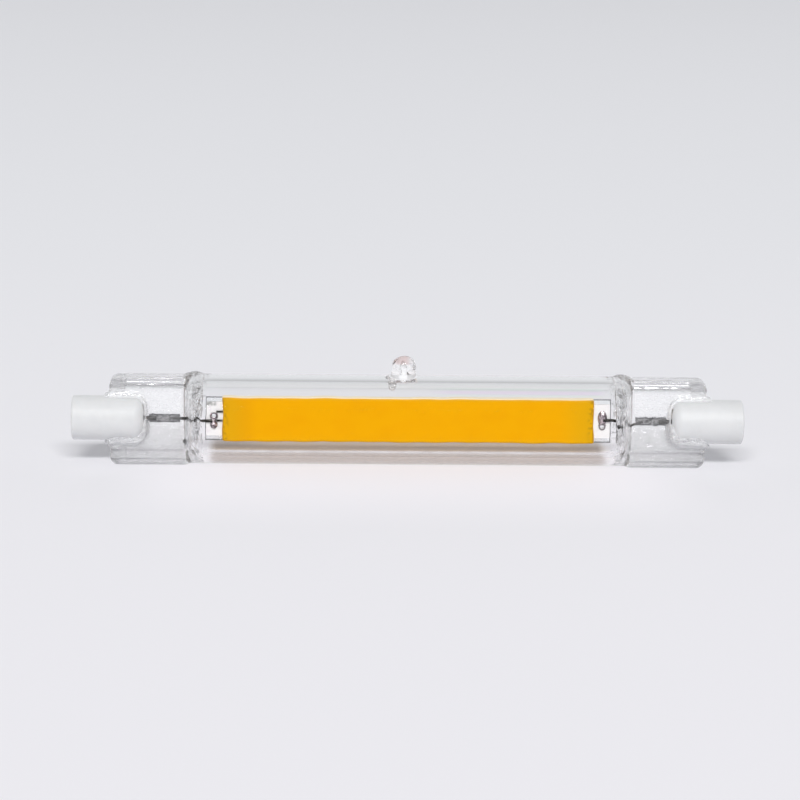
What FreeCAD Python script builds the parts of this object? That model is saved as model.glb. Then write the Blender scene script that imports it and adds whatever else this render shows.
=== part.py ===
import FreeCAD, Part

import math
import os

import Sketcher
from FreeCAD import Rotation, Vector

# Double-ended LED lamp in a clear glass tube, pinched flat at both ends.
# Millimetres. +X runs along the lamp, +Z is up, and the strip's lit face looks along -Y.
# The origin is on the surface that the lamp rests on, below the middle of its tube.

DOC = FreeCAD.newDocument("DoubleEndedLamp")

# Driving dimensions: alias, value, what it sizes.
SIZES = [
    ("tube_radius", 7.9, "outside of the glass tube"),
    ("tube_wall", 1.3, "wall of the glass tube"),
    ("tube_half_length", 35.9, "middle of the tube to the start of a shoulder"),
    ("shoulder_length", 3.4, "tube end to the flat seal"),
    ("shoulder_crown", 0.45, "how far the shoulder swells above the tube"),
    ("shoulder_keel", 0.05, "how far the shoulder swells below the tube"),
    ("web_length", 7.0, "flat seal between shoulder and cap"),
    ("web_thickness", 2.6, "flat seal, front to back"),
    ("wing_length", 5.9, "seal's wings beside the cap"),
    ("wing_round", 1.5, "outer corners of the wings"),
    ("lip_length", 0.9, "glass lip that runs out along the cap"),
    ("lip_height", 1.3, "glass lip where it leaves the wing"),
    ("lip_edge", 0.25, "thickness of the lip's end"),
    ("seal_top", 7.6, "axis to the top of the seal"),
    ("seal_base", 8.0, "axis to the feet of the seal"),
    ("rail_width", 4.4, "rails along the seal's edges, front to back"),
    ("rail_height_upper", 1.8, "upper rail"),
    ("rail_height_lower", 2.6, "lower rail, which the lamp rests on"),
    ("rail_round", 0.6, "long edges of the rails"),
    ("cradle_wall", 0.8, "glass trough under a cap"),
    ("cradle_round", 1.6, "corners of the trough, seen from above"),
    ("cradle_reach_left", 2.9, "half width of the left trough"),
    ("cradle_reach_right", 3.4, "half width of the right trough"),
    ("notch_gap", 0.15, "glass notch to the cap"),
    ("tongue_length", 5.2, "glass tongue inside the cap"),
    ("tongue_height", 4.4, "glass tongue"),
    ("tongue_thickness", 2.2, "glass tongue"),
    ("cavity_taper", 2.6, "hollow end beyond the tube's straight part"),
    ("slit_half_height", 5.2, "hollow end where the seal closes it"),
    ("slit_half_width", 0.9, "hollow end where the seal closes it"),
    ("tip_offset", -1.0, "exhaust tip from the middle of the tube"),
    ("tip_radius", 2.1, "exhaust tip"),
    ("tip_height", 3.5, "exhaust tip above the tube"),
    ("tip_foot", 0.8, "flare at the foot of the exhaust tip"),
    ("tip_bore", 0.8, "radius of the hole left under the exhaust tip"),
    ("tip_bore_rise", 2.3, "how far the hole rises above the tube"),
    ("cap_radius", 3.9, "ceramic cap"),
    ("cap_length", 12.5, "ceramic cap"),
    ("cap_nose", 1.8, "cap's rounded end against the glass"),
    ("cap_rim", 0.4, "bevel round the cap's outer end"),
    ("recess_mouth", 0.25, "bevel round the mouth of the recess"),
    ("recess_radius", 2.5, "recess for the contact"),
    ("recess_depth", 2.5, "recess for the contact"),
    ("cement_gap", 0.4, "cement round the glass tongue"),
    ("cement_inset", 0.3, "cap's inner end to the cement in its slot"),
    ("contact_radius", 2.2, "contact disc"),
    ("contact_sink", 0.1, "contact's face below the step in the recess"),
    ("contact_gap", 0.1, "contact's rim to its seat"),
    ("contact_thickness", 0.8, "contact disc"),
    ("contact_rim", 0.25, "bevel round the contact disc"),
    ("dish_radius", 1.2, "hollow in the contact's face"),
    ("dish_depth", 0.2, "hollow in the contact's face"),
    ("shank_radius", 0.9, "shank behind the contact disc"),
    ("shank_length", 2.0, "shank behind the contact disc"),
    ("shank_gap", 0.05, "shank to its bore in the ceramic"),
    ("lead_grip", 1.2, "length of outer lead held in the shank"),
    ("outer_lead_radius", 0.4, "lead between foil and contact"),
    ("lead_hole_gap", 0.1, "outer lead to its hole in the ceramic"),
    ("foil_inset", 0.7, "shoulder to the foil's inner end"),
    ("foil_length", 5.6, "sealed foil"),
    ("foil_width", 1.5, "sealed foil"),
    ("foil_thickness", 0.1, "sealed foil"),
    ("outer_weld", 1.5, "outer lead laid on the foil"),
    ("inner_weld", 1.3, "inner lead laid on the foil"),
    ("inner_lead_radius", 0.25, "lead between foil and strip"),
    ("inner_lead_bend", 0.45, "bend radius of the inner leads"),
    ("inner_lead_end", 1.5, "inner lead laid on the strip's terminal"),
    ("lead_rise_left", -0.3, "left inner lead on the strip, from its middle"),
    ("lead_rise_right", 0.3, "right inner lead on the strip, from its middle"),
    ("kink_drop", 1.2, "kink in the right inner lead"),
    ("strip_inset", 0.25, "end of the tube's straight part to the substrate"),
    ("strip_width", 7.7, "substrate"),
    ("strip_thickness", 0.8, "substrate"),
    ("strip_bare_end", 3.0, "substrate's end to the phosphor coat"),
    ("coat_overhang", 0.2, "phosphor coat past the substrate's edges"),
    ("coat_thickness", 0.65, "phosphor coat over each face"),
    ("coat_round", 0.35, "long edges of the phosphor coat"),
    ("pad_inset", 0.15, "substrate's end to the terminal pad"),
    ("pad_tuck", 0.3, "terminal pad under the coat"),
    ("pad_width", 6.0, "terminal pad"),
    ("pad_thickness", 0.06, "terminal pad"),
    ("eyelet_radius", 0.6, "eyelet through the substrate"),
    ("eyelet_bore", 0.38, "hole in the eyelet"),
    ("eyelet_rim", 0.1, "eyelet's rim above the pad"),
    ("eyelet_rise_left", 0.55, "left eyelet from the strip's middle"),
    ("eyelet_rise_right", -0.95, "right eyelet from the strip's middle"),
    ("solder_offset_left", 0.1, "left solder mound from the strip's middle"),
    ("solder_offset_right", 0.6, "right solder mound from the strip's middle"),
    ("solder_half_width_left", 0.75, "left solder mound along the strip"),
    ("solder_half_width_right", 0.85, "right solder mound along the strip"),
    ("solder_half_height_left", 1.0, "left solder mound across the strip"),
    ("solder_half_height_right", 1.35, "right solder mound across the strip"),
    ("solder_rise", 0.7, "solder mound over the pad"),
    ("solder_film", 0.05, "solder between a wire and the pad below it"),
    ("bead_radius", 0.6, "small bead at the foot of the left solder mound"),
    ("bead_drop", 1.2, "bead below the middle of its mound"),
    ("jumper_radius", 0.16, "jumper wires"),
    ("jumper_spread", 0.8, "jumper wires from the middle of the rectifier"),
    ("jumper_start", 0.45, "jumper wires' outer ends from the eyelet's middle"),
    ("track_width", 0.9, "printed conductors"),
    ("track_thickness", 0.05, "printed conductors"),
    ("row_offset", 2.1, "chip rows from the strip's middle"),
    ("chip_length", 1.8, "light-emitting chip"),
    ("chip_width", 0.75, "light-emitting chip"),
    ("chip_thickness", 0.2, "light-emitting chip"),
    ("chip_columns", 12, "light-emitting chips in a row"),
    ("row_inset", 1.4, "coat's end to the last chip in a row"),
    ("driver_length", 2.6, "current driver"),
    ("driver_width", 1.9, "current driver"),
    ("driver_thickness", 0.45, "current driver and rectifier"),
    ("rectifier_length", 1.8, "rectifier"),
    ("rectifier_width", 2.0, "rectifier"),
    ("rectifier_rise", 0.55, "middle of the rectifier above the strip's middle"),
    ("rectifier_inset", 0.75, "coat's end to the rectifier"),
    ("board_gap", 0.35, "between rectifier, driver and the first chips"),
]

SHEET = DOC.addObject("Spreadsheet::Sheet", "Sizes")
for row, (alias, value, note) in enumerate(SIZES, start=1):
    SHEET.set("A%d" % row, str(value))
    SHEET.setAlias("A%d" % row, alias)
    SHEET.set("B%d" % row, note)
DOC.recompute()


class Size:
    """A length with its value and the sheet expression that gives it."""

    def __init__(self, value, text):
        self.value = float(value)
        self.text = text

    @staticmethod
    def of(other):
        return other if isinstance(other, Size) else Size(other, repr(other))

    def joined(self, sign, other, value):
        return Size(value, "(%s %s %s)" % (self.text, sign, Size.of(other).text))

    def __add__(self, other):
        return self.joined("+", other, self.value + Size.of(other).value)

    def __sub__(self, other):
        return self.joined("-", other, self.value - Size.of(other).value)

    def __mul__(self, other):
        return self.joined("*", other, self.value * Size.of(other).value)

    def __truediv__(self, other):
        return self.joined("/", other, self.value / Size.of(other).value)

    def __neg__(self):
        return Size(-self.value, "(0 - %s)" % self.text)


def size(alias):
    return Size(SHEET.get(alias), "Sizes." + alias)


def bind(thing, **sizes):
    """Binds an object's properties to sizes."""
    for name, length in sizes.items():
        thing.setExpression(name, Size.of(length).text)
    return thing


def place(thing, x=0, y=0, z=0, rotation=None):
    """Puts an object at bound coordinates."""
    if rotation:
        thing.Placement.Rotation = rotation
    for axis, length in (("x", x), ("y", y), ("z", z)):
        thing.setExpression("Placement.Base." + axis, Size.of(length).text)
    return thing


# Heights are counted from the lamp's axis, which the feet of the seals hold above the surface.
AXIS = size("seal_base")
MIDDLE = Size(0, "0")

ALONG_X = Rotation(Vector(0, 1, 0), 90)
ALONG_Y = Rotation(Vector(1, 0, 0), -90)
# Turns a curve's own XY plane into a section across the lamp, with its first axis upright.
ACROSS = Rotation(Vector(0, 0, 1), Vector(0, 1, 0), Vector(-1, 0, 0), "XYZ")
# Turns it to face along the strip's normal, again with its first axis upright.
FACING = Rotation(Vector(0, 0, 1), Vector(1, 0, 0), Vector(0, 1, 0), "XYZ")

# A round takes up no more than this share of the wall that it lies on.
ROUND_SHARE = 0.9
# Straight runs that stand for the quarter circle of a cap's nose.
NOSE_STEPS = 3
# Ovals of a solder mound: share of its rise above the pad, and share of its half widths.
MOUND_SECTIONS = [(0.0, 1.0), (0.55, 0.84), (0.87, 0.5), (1.0, 0.2)]
# The kind of corner that a wire's runs make where they meet.
MITRED = 1


def block(name, x, y, z):
    """A box between pairs of bound coordinates, z from the lamp's axis."""
    box = DOC.addObject("Part::Box", name)
    bind(box, Length=Size.of(x[1]) - x[0], Width=Size.of(y[1]) - y[0], Height=Size.of(z[1]) - z[0])
    return place(box, x[0], y[0], AXIS + z[0])


def rod(name, radius, start, end, y=0, z=0):
    """A round bar along X."""
    bar = DOC.addObject("Part::Cylinder", name)
    bind(bar, Radius=radius, Height=Size.of(end) - start)
    return place(bar, start, y, AXIS + z, ALONG_X)


def ball(name, radius, x, y, z):
    solid = bind(DOC.addObject("Part::Sphere", name), Radius=radius)
    return place(solid, x, y, AXIS + z)


def cut(name, base, tool):
    result = DOC.addObject("Part::Cut", name)
    result.Base = base
    result.Tool = tool
    return result


def fuse(name, *shapes):
    """Several solids as one. A single solid is left as it is."""
    if len(shapes) == 1:
        return shapes[0]
    result = DOC.addObject("Part::MultiFuse", name)
    result.Shapes = list(shapes)
    result.Refine = True
    return result


def common(name, *shapes):
    result = DOC.addObject("Part::MultiCommon", name)
    result.Shapes = list(shapes)
    return result


def group(name, *shapes):
    """Several loose solids as one object."""
    result = DOC.addObject("Part::Compound", name)
    result.Links = list(shapes)
    return result


def mirrored(name, source):
    """The same piece at the lamp's other end."""
    result = DOC.addObject("Part::Mirroring", name)
    result.Source = source
    result.Normal = Vector(1, 0, 0)
    return result


def body(name):
    """A body whose own origin lies on the lamp's axis."""
    return place(DOC.addObject("PartDesign::Body", name), z=AXIS)


def sketch(owner, name, role):
    """A sketch on one of its body's own origin planes."""
    drawing = owner.newObject("Sketcher::SketchObject", name)
    plane = [item for item in owner.Origin.OriginFeatures if item.Role == role][0]
    drawing.AttachmentSupport = [(plane, "")]
    drawing.MapMode = "FlatFace"
    return drawing


def ends_of(drawing, index, start):
    """Which end of an edge, 1 or 2, lies at its start, and which at its finish."""
    return (1, 2) if drawing.getPoint(index, 1).isEqual(start, 1e-6) else (2, 1)


def draw(drawing, corners):
    """Draws a closed outline through corners (u, v) or (u, v, radius, bulge).

    A corner with a radius is reached from the one before it by an arc: bulge +1 turns left.
    Every corner is bound to the sheet by its distances from the sketch's origin.
    """
    count = len(corners)
    points = [Vector(Size.of(c[0]).value, Size.of(c[1]).value, 0) for c in corners]
    for index, corner in enumerate(corners):
        start, end = points[index - 1], points[index]
        if len(corner) == 2:
            drawing.addGeometry(Part.LineSegment(start, end), False)
            continue
        radius, bulge = Size.of(corner[2]).value, corner[3]
        half = (end - start) * 0.5
        rise = math.sqrt(max(radius * radius - half.Length * half.Length, 0.0))
        side = Vector(-half.y, half.x, 0).normalize() * bulge
        centre = start + half + side * rise
        reach = side * (rise - radius)
        drawing.addGeometry(Part.Arc(start, start + half + reach, end), False)
    for index, corner in enumerate(corners):
        following = (index + 1) % count
        ends = ends_of(drawing, index, points[index - 1])
        starts = ends_of(drawing, following, points[index])
        drawing.addConstraint(Sketcher.Constraint("Coincident", index, ends[1], following, starts[0]))
        for kind, coordinate in (("DistanceX", corner[0]), ("DistanceY", corner[1])):
            length = Size.of(coordinate)
            if length.value == 0:
                level = "X" if kind == "DistanceY" else "Y"
                axis = -1 if level == "X" else -2
                drawing.addConstraint(Sketcher.Constraint("PointOnObject", index, ends[1], axis))
                continue
            number = drawing.addConstraint(
                Sketcher.Constraint(kind, -1, 1, index, ends[1], length.value)
            )
            drawing.setExpression("Constraints[%d]" % number, length.text)
        if len(corner) > 2:
            number = drawing.addConstraint(Sketcher.Constraint("Radius", index, Size.of(corner[2]).value))
            drawing.setExpression("Constraints[%d]" % number, Size.of(corner[2]).text)
    return drawing


def least(*sizes):
    """The smallest of some sizes, for a round that its wall limits."""
    return Size(min(item.value for item in sizes), "min(%s)" % "; ".join(item.text for item in sizes))


def turned(name, corners):
    """A piece turned about the lamp's axis from half its section."""
    owner = body(name)
    section = draw(sketch(owner, name + "_section", "XZ_Plane"), corners)
    feature = owner.newObject("PartDesign::Revolution", name + "_turn")
    feature.Profile = section
    feature.ReferenceAxis = (section, ["H_Axis"])
    feature.Angle = 360
    owner.Tip = feature
    return owner


def padded(name, role, corners, length, start=None):
    """A profile pushed out by length, to both sides of its plane or from start along X."""
    owner = body(name)
    profile = draw(sketch(owner, name + "_profile", role), corners)
    feature = owner.newObject("PartDesign::Pad", name + "_pad")
    feature.Profile = profile
    feature.SideType = "One side" if start else "Symmetric"
    if start:
        bind(profile, **{"AttachmentOffset.Base.z": start})
    bind(feature, Length=length)
    owner.Tip = feature
    return owner


def rounded_bar(half_width, low, high, radius):
    """Corners of an upright bar section, with its four edges rounded."""
    inner = half_width - radius
    return [
        (inner, low),
        (half_width, low + radius, radius, 1),
        (half_width, high - radius),
        (inner, high, radius, 1),
        (-inner, high),
        (-half_width, high - radius, radius, 1),
        (-half_width, low + radius),
        (-inner, low, radius, 1),
    ]


# Stations along the lamp's right half, counted from the middle of the tube.
tube_end = size("tube_half_length")
seal_start = tube_end + size("shoulder_length")
cap_start = seal_start + size("web_length")
cap_end = cap_start + size("cap_length")
wing_end = cap_start + size("wing_length")
lip_end = wing_end + size("lip_length")
tongue_end = cap_start + size("tongue_length")
slot_floor = tongue_end + size("cement_gap")
recess_floor = cap_end - size("recess_depth")
shank_end = recess_floor - size("shank_length")
lead_end = shank_end + size("lead_grip")
foil_start = seal_start + size("foil_inset")
foil_end = foil_start + size("foil_length")
strip_end = tube_end - size("strip_inset")
coat_end = strip_end - size("strip_bare_end")
pad_start = coat_end - size("pad_tuck")
pad_end = strip_end - size("pad_inset")

# The tube's two skins. Each shoulder runs from the round tube to the flat seal through
# sections of its own. A section is a share of the way, a share of the narrowing from
# round to flat that is still to come, and a share of the swell above and below.
tube_radius = size("tube_radius")
bore_radius = tube_radius - size("tube_wall")
web_half = size("web_thickness") / 2
SHOULDER_SECTIONS = [
    (0.0, 1.0, 0.0),
    (0.35, 0.93, 0.6),
    (0.65, 0.74, 1.0),
    (0.88, 0.44, 0.8),
    (1.0, 0.12, -0.2),
]
HOLLOW_SECTIONS = [(0.0, 1.0, 0.0), (0.6, 0.8, 0.2), (1.0, 0.12, 1.0)]


def oval(name, x, half_width, rise, drop):
    """An upright oval section: half its width, its top above the axis and its foot below."""
    curve = DOC.addObject("Part::Ellipse", name)
    bind(curve, MajorRadius=(rise + drop) / 2, MinorRadius=half_width)
    return place(curve, x, 0, AXIS + (rise - drop) / 2, ACROSS)


def loft(name, sections):
    """A solid through sections, with straight runs from each one to the next."""
    solid = DOC.addObject("Part::Loft", name)
    solid.Sections = sections
    solid.Solid = True
    solid.Ruled = True
    return solid


shoulder_sections = []
for share, narrowing, swell in SHOULDER_SECTIONS:
    shoulder_sections.append(
        oval(
            "shoulder_section",
            tube_end + size("shoulder_length") * share,
            web_half + (tube_radius - web_half) * narrowing,
            tube_radius + size("shoulder_crown") * swell,
            tube_radius + size("shoulder_keel") * swell,
        )
    )
shoulder = loft("shoulder", shoulder_sections)

hollow_sections = []
for share, narrowing, closing in HOLLOW_SECTIONS:
    half_height = bore_radius - (bore_radius - size("slit_half_height")) * closing
    hollow_sections.append(
        oval(
            "hollow_section",
            tube_end + size("cavity_taper") * share,
            size("slit_half_width") + (bore_radius - size("slit_half_width")) * narrowing,
            half_height,
            half_height,
        )
    )
hollow_end = loft("hollow_end", hollow_sections)

# The pressed seal: its front outline, cut to an I section with a rail along each edge.
base, top = -size("seal_base"), size("seal_top")
notch_radius = size("cap_radius") + size("notch_gap")
lip_top = notch_radius + size("lip_edge")
wing_round = size("wing_round")
seal_root = seal_start - size("shoulder_length") / 2
ledge = (size("rail_width") - size("web_thickness")) / 2
rail_round = least(
    size("rail_round"), ledge * ROUND_SHARE, size("rail_height_upper") / 2 * ROUND_SHARE
)
rail_half = size("rail_width") / 2
rail_shelf = rail_half - rail_round
lower_shelf = base + size("rail_height_lower")
upper_shelf = top - size("rail_height_upper")

seal_outline = padded(
    "seal_outline",
    "XZ_Plane",
    [
        (seal_root, base),
        (wing_end - wing_round, base),
        (wing_end, base + wing_round, wing_round, 1),
        (wing_end, -(lip_top + size("lip_height"))),
        (lip_end, -lip_top, size("lip_height"), -1),
        (lip_end, lip_top),
        (wing_end, lip_top + size("lip_height"), size("lip_height"), -1),
        (wing_end, top - wing_round),
        (wing_end - wing_round, top, wing_round, 1),
        (seal_root, top),
    ],
    size("rail_width"),
)
seal_section = padded(
    "seal_section",
    "YZ_Plane",
    [
        (rail_shelf, base),
        (rail_half, base + rail_round, rail_round, 1),
        (rail_half, lower_shelf - rail_round),
        (rail_shelf, lower_shelf, rail_round, 1),
        (web_half, lower_shelf),
        (web_half, upper_shelf),
        (rail_shelf, upper_shelf),
        (rail_half, upper_shelf + rail_round, rail_round, 1),
        (rail_half, top - rail_round),
        (rail_shelf, top, rail_round, 1),
        (-rail_shelf, top),
        (-rail_half, top - rail_round, rail_round, 1),
        (-rail_half, upper_shelf + rail_round),
        (-rail_shelf, upper_shelf, rail_round, 1),
        (-web_half, upper_shelf),
        (-web_half, lower_shelf),
        (-rail_shelf, lower_shelf),
        (-rail_half, lower_shelf - rail_round, rail_round, 1),
        (-rail_half, base + rail_round),
        (-rail_shelf, base, rail_round, 1),
    ],
    lip_end - seal_root,
    seal_root,
)
seal = common("seal", seal_outline, seal_section)


def nose(start, radius, nose_radius):
    """Corners of a cap's rounded inner end, or of glass at a distance round it."""
    centre = start + size("cap_nose")
    corners = []
    for step in range(NOSE_STEPS + 1):
        angle = math.radians(90) * step / NOSE_STEPS
        corners.append(
            (
                centre - nose_radius * math.sin(angle),
                radius - nose_radius * (1 - math.cos(angle)),
            )
        )
    return corners


# The room that the cap takes in the seal, and the tongue that reaches into the cap.
notch = turned(
    "notch",
    [
        (cap_start - size("notch_gap"), MIDDLE),
        (cap_end, MIDDLE),
        (cap_end, notch_radius),
        *nose(cap_start, notch_radius, size("cap_nose") + size("notch_gap")),
    ],
)
tongue_half = size("tongue_thickness") / 2
tongue_rise = size("tongue_height") / 2
tongue = block(
    "tongue",
    (seal_start, tongue_end),
    (-tongue_half, tongue_half),
    (-tongue_rise, tongue_rise),
)

cradle_start = cap_start - size("notch_gap") - size("cradle_wall")
cradle_end = (wing_end + lip_end) / 2
cradle_radius = notch_radius + size("cradle_wall")
bowl = turned(
    "bowl",
    [
        (cradle_start, MIDDLE),
        (cradle_end, MIDDLE),
        (cradle_end, cradle_radius),
        *nose(cap_start, cradle_radius, size("cap_nose") + size("notch_gap") + size("cradle_wall")),
    ],
)


def cradle(name, side, reach):
    """The trough of glass round the lower half of a cap, with its corners rounded in plan."""
    low, high = (cradle_start, cradle_end) if side > 0 else (-cradle_end, -cradle_start)
    corner = least(size("cradle_round"), reach * ROUND_SHARE)
    plan = padded(
        name + "_plan",
        "XY_Plane",
        [
            (high - corner, -reach),
            (high, corner - reach, corner, 1),
            (high, reach - corner),
            (high - corner, reach, corner, 1),
            (low + corner, reach),
            (low, reach - corner, corner, 1),
            (low, corner - reach),
            (low + corner, -reach, corner, 1),
        ],
        cradle_radius,
        -cradle_radius,
    )
    return common(name, bowl if side > 0 else mirrored("bowl_left", bowl), plan)


cradle_right = cradle("cradle_right", 1, size("cradle_reach_right"))
cradle_left = cradle("cradle_left", -1, size("cradle_reach_left"))

# The exhaust tip: a flared foot, a short stub and a rounded end that was melted shut.
tip_x = size("tip_offset")
stub_top = tube_radius + size("tip_height") - size("tip_radius")


def upright(name, kind, foot, head, **sizes):
    """A round solid that stands on the tube at the exhaust tip."""
    solid = bind(DOC.addObject(kind, name), Height=head - foot, **sizes)
    return place(solid, tip_x, 0, AXIS + foot)


tip = fuse(
    "tip",
    upright(
        "tip_foot",
        "Part::Cone",
        bore_radius + size("tube_wall") / 2,
        tube_radius + size("tip_foot"),
        Radius1=size("tip_radius") + size("tip_foot"),
        Radius2=size("tip_radius"),
    ),
    upright("tip_stub", "Part::Cylinder", tube_radius, stub_top, Radius=size("tip_radius")),
    ball("tip_end", size("tip_radius"), tip_x, 0, stub_top),
)
tip_hole = upright(
    "tip_hole",
    "Part::Cylinder",
    bore_radius - size("tube_wall"),
    tube_radius + size("tip_bore_rise"),
    Radius=size("tip_bore"),
)

# Leads and foils. The foil lies behind both leads, so that they are welded to its front.
foil_face = size("outer_lead_radius")
foil_half = size("foil_width") / 2
foil_right = block(
    "foil_right",
    (foil_start, foil_end),
    (foil_face, foil_face + size("foil_thickness")),
    (-foil_half, foil_half),
)
foil_left = mirrored("foil_left", foil_right)
outer_lead_right = rod(
    "outer_lead_right", size("outer_lead_radius"), foil_end - size("outer_weld"), lead_end
)
outer_lead_left = mirrored("outer_lead_left", outer_lead_right)

pad_face = size("strip_thickness") / 2 + size("pad_thickness")
wire_seat = pad_face + size("solder_film")
lead_seat = -(wire_seat + size("inner_lead_radius"))
lead_in_seal = foil_face - size("inner_lead_radius")


def bent_wire(name, radius, bend, route):
    """A round wire along straight runs. A short run stands for the arc of each bend."""
    points = [Vector(*(Size.of(value).value for value in point)) for point in route]
    bend_value = Size.of(bend).value
    stops = [points[0]]
    for before, corner, after in zip(points, points[1:], points[2:]):
        arriving = (corner - before).normalize()
        leaving = (after - corner).normalize()
        reach = bend_value * math.tan(arriving.getAngle(leaving) / 2)
        stops += [corner - arriving * reach, corner + leaving * reach]
    stops.append(points[-1])
    ring = Part.Wire([Part.Circle(points[0], points[1] - points[0], Size.of(radius).value).toShape()])
    wire = DOC.addObject("Part::Feature", name)
    wire.Shape = Part.makePolygon(stops).makePipeShell([ring], True, False, MITRED)
    return place(wire, z=AXIS)


weld_end = foil_start + size("inner_weld")
lead_tip = strip_end - size("inner_lead_end")
slope_start = seal_start - size("inner_lead_bend")
slope_end = tube_end + size("inner_lead_bend")
inner_lead_left = bent_wire(
    "inner_lead_left",
    size("inner_lead_radius"),
    size("inner_lead_bend"),
    [
        (-weld_end, lead_in_seal, MIDDLE),
        (-slope_start, lead_in_seal, MIDDLE),
        (-slope_end, lead_seat, size("lead_rise_left")),
        (-lead_tip, lead_seat, size("lead_rise_left")),
    ],
)
kink_at = (slope_start + slope_end) / 2
inner_lead_right = bent_wire(
    "inner_lead_right",
    size("inner_lead_radius"),
    size("inner_lead_bend"),
    [
        (weld_end, lead_in_seal, MIDDLE),
        (kink_at, lead_in_seal, -size("kink_drop")),
        (slope_end, lead_seat, size("lead_rise_right")),
        (lead_tip, lead_seat, size("lead_rise_right")),
    ],
)

# The whole envelope, hollowed out and opened for what is sealed into it.
hollow = rod("hollow", bore_radius, -tube_end, tube_end)
envelope_form = fuse(
    "envelope_form",
    rod("tube_form", tube_radius, -tube_end, tube_end),
    shoulder,
    mirrored("shoulder_left", shoulder),
    seal,
    mirrored("seal_left", seal),
    cradle_right,
    cradle_left,
    tip,
)
notched_form = cut(
    "notched_form", envelope_form, group("notches", notch, mirrored("notch_left", notch))
)
tongued_form = fuse("tongued_form", notched_form, tongue, mirrored("tongue_left", tongue))
envelope_hollow = fuse(
    "envelope_hollow", hollow, hollow_end, mirrored("hollow_end_left", hollow_end), tip_hole
)
blown_form = cut("blown_form", tongued_form, envelope_hollow)
leads = group("leads", outer_lead_right, outer_lead_left, inner_lead_right, inner_lead_left)
wired_form = cut("wired_form", blown_form, leads)
glass_envelope = cut("glass_envelope", wired_form, group("foils", foil_right, foil_left))

# The ceramic cap: turned outside and bored in steps, with a slot for the glass tongue.
cap_blank = turned(
    "cap_blank",
    [
        (cap_start, MIDDLE),
        (cap_end, MIDDLE),
        (cap_end, size("cap_radius") - size("cap_rim")),
        (cap_end - size("cap_rim"), size("cap_radius")),
        *nose(cap_start, size("cap_radius"), size("cap_nose")),
    ],
)
mouth = size("recess_mouth")
seat_face = recess_floor + size("contact_thickness") + size("contact_sink")
seat_radius = size("contact_radius") + size("contact_gap")
shank_bore = size("shank_radius") + size("shank_gap")
lead_hole = size("outer_lead_radius") + size("lead_hole_gap")
cap_bores = turned(
    "cap_bores",
    [
        (tongue_end, MIDDLE),
        (cap_end + mouth, MIDDLE),
        (cap_end + mouth, size("recess_radius") + mouth * 2),
        (cap_end - mouth, size("recess_radius")),
        (seat_face, size("recess_radius")),
        (seat_face, seat_radius),
        (recess_floor, seat_radius),
        (recess_floor, shank_bore),
        (shank_end - size("shank_gap"), shank_bore),
        (shank_end - size("shank_gap"), lead_hole),
        (tongue_end, lead_hole),
    ],
)
slot_half = tongue_half + size("cement_gap")
slot_rise = tongue_rise + size("cement_gap")
slot = block("slot", (seal_start, slot_floor), (-slot_half, slot_half), (-slot_rise, slot_rise))
ceramic_cap_right = cut("ceramic_cap_right", cap_blank, fuse("cap_hollow", cap_bores, slot))
ceramic_cap_left = mirrored("ceramic_cap_left", ceramic_cap_right)

# Cement fills the slot round the tongue, up to where the cap's end begins to round off.
cement_start = cap_start + size("cement_inset")
cement_form = block(
    "cement_form", (cement_start, slot_floor), (-slot_half, slot_half), (-slot_rise, slot_rise)
)
cap_cement_right = cut(
    "cap_cement_right", cement_form, fuse("cement_core", tongue, outer_lead_right)
)
cap_cement_left = mirrored("cap_cement_left", cap_cement_right)

contact_face = recess_floor + size("contact_thickness")
contact_right = turned(
    "contact_right",
    [
        (lead_end, MIDDLE),
        (contact_face - size("dish_depth"), MIDDLE),
        (contact_face, size("dish_radius")),
        (contact_face, size("contact_radius") - size("contact_rim")),
        (contact_face - size("contact_rim"), size("contact_radius")),
        (recess_floor, size("contact_radius")),
        (recess_floor, size("shank_radius")),
        (shank_end, size("shank_radius")),
        (shank_end, size("outer_lead_radius")),
        (lead_end, size("outer_lead_radius")),
    ],
)
contact_left = mirrored("contact_left", contact_right)

# The strip's substrate, with an eyelet through each end that joins its two faces.
strip_half = size("strip_thickness") / 2
strip_rise = size("strip_width") / 2
eyelet_x = (coat_end + pad_end) / 2


def across(name, radius, half, x, z):
    """A round bar through the strip, front to back."""
    bar = bind(DOC.addObject("Part::Cylinder", name), Radius=radius, Height=Size.of(half) * 2)
    return place(bar, x, -half, AXIS + z, ALONG_Y)


def eyelet(name, radius, half, side):
    """A bar through the eyelet at one end of the strip."""
    rise = size("eyelet_rise_right") if side > 0 else size("eyelet_rise_left")
    return across(name, radius, half, eyelet_x * side, rise)


substrate_form = block(
    "substrate_form",
    (-strip_end, strip_end),
    (-strip_half, strip_half),
    (-strip_rise, strip_rise),
)
led_substrate = cut(
    "led_substrate",
    substrate_form,
    group(
        "eyelet_holes",
        eyelet("eyelet_hole_left", size("eyelet_radius"), pad_face, -1),
        eyelet("eyelet_hole_right", size("eyelet_radius"), pad_face, 1),
    ),
)


def terminal(name, side):
    """Pads on both faces, joined by an eyelet with a raised rim."""
    low, high = (pad_start, pad_end) if side > 0 else (-pad_end, -pad_start)
    rise = size("pad_width") / 2
    pads = [
        block(name + "_front", (low, high), (-pad_face, -strip_half), (-rise, rise)),
        block(name + "_back", (low, high), (strip_half, pad_face), (-rise, rise)),
    ]
    rim = pad_face + size("eyelet_rim")
    barrel = eyelet(name + "_barrel", size("eyelet_radius"), rim, side)
    form = fuse(name + "_form", barrel, *pads)
    return cut(name, form, eyelet(name + "_bore", size("eyelet_bore"), rim * 2, side))


terminal_left = terminal("terminal_left", -1)
terminal_right = terminal("terminal_right", 1)

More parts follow.
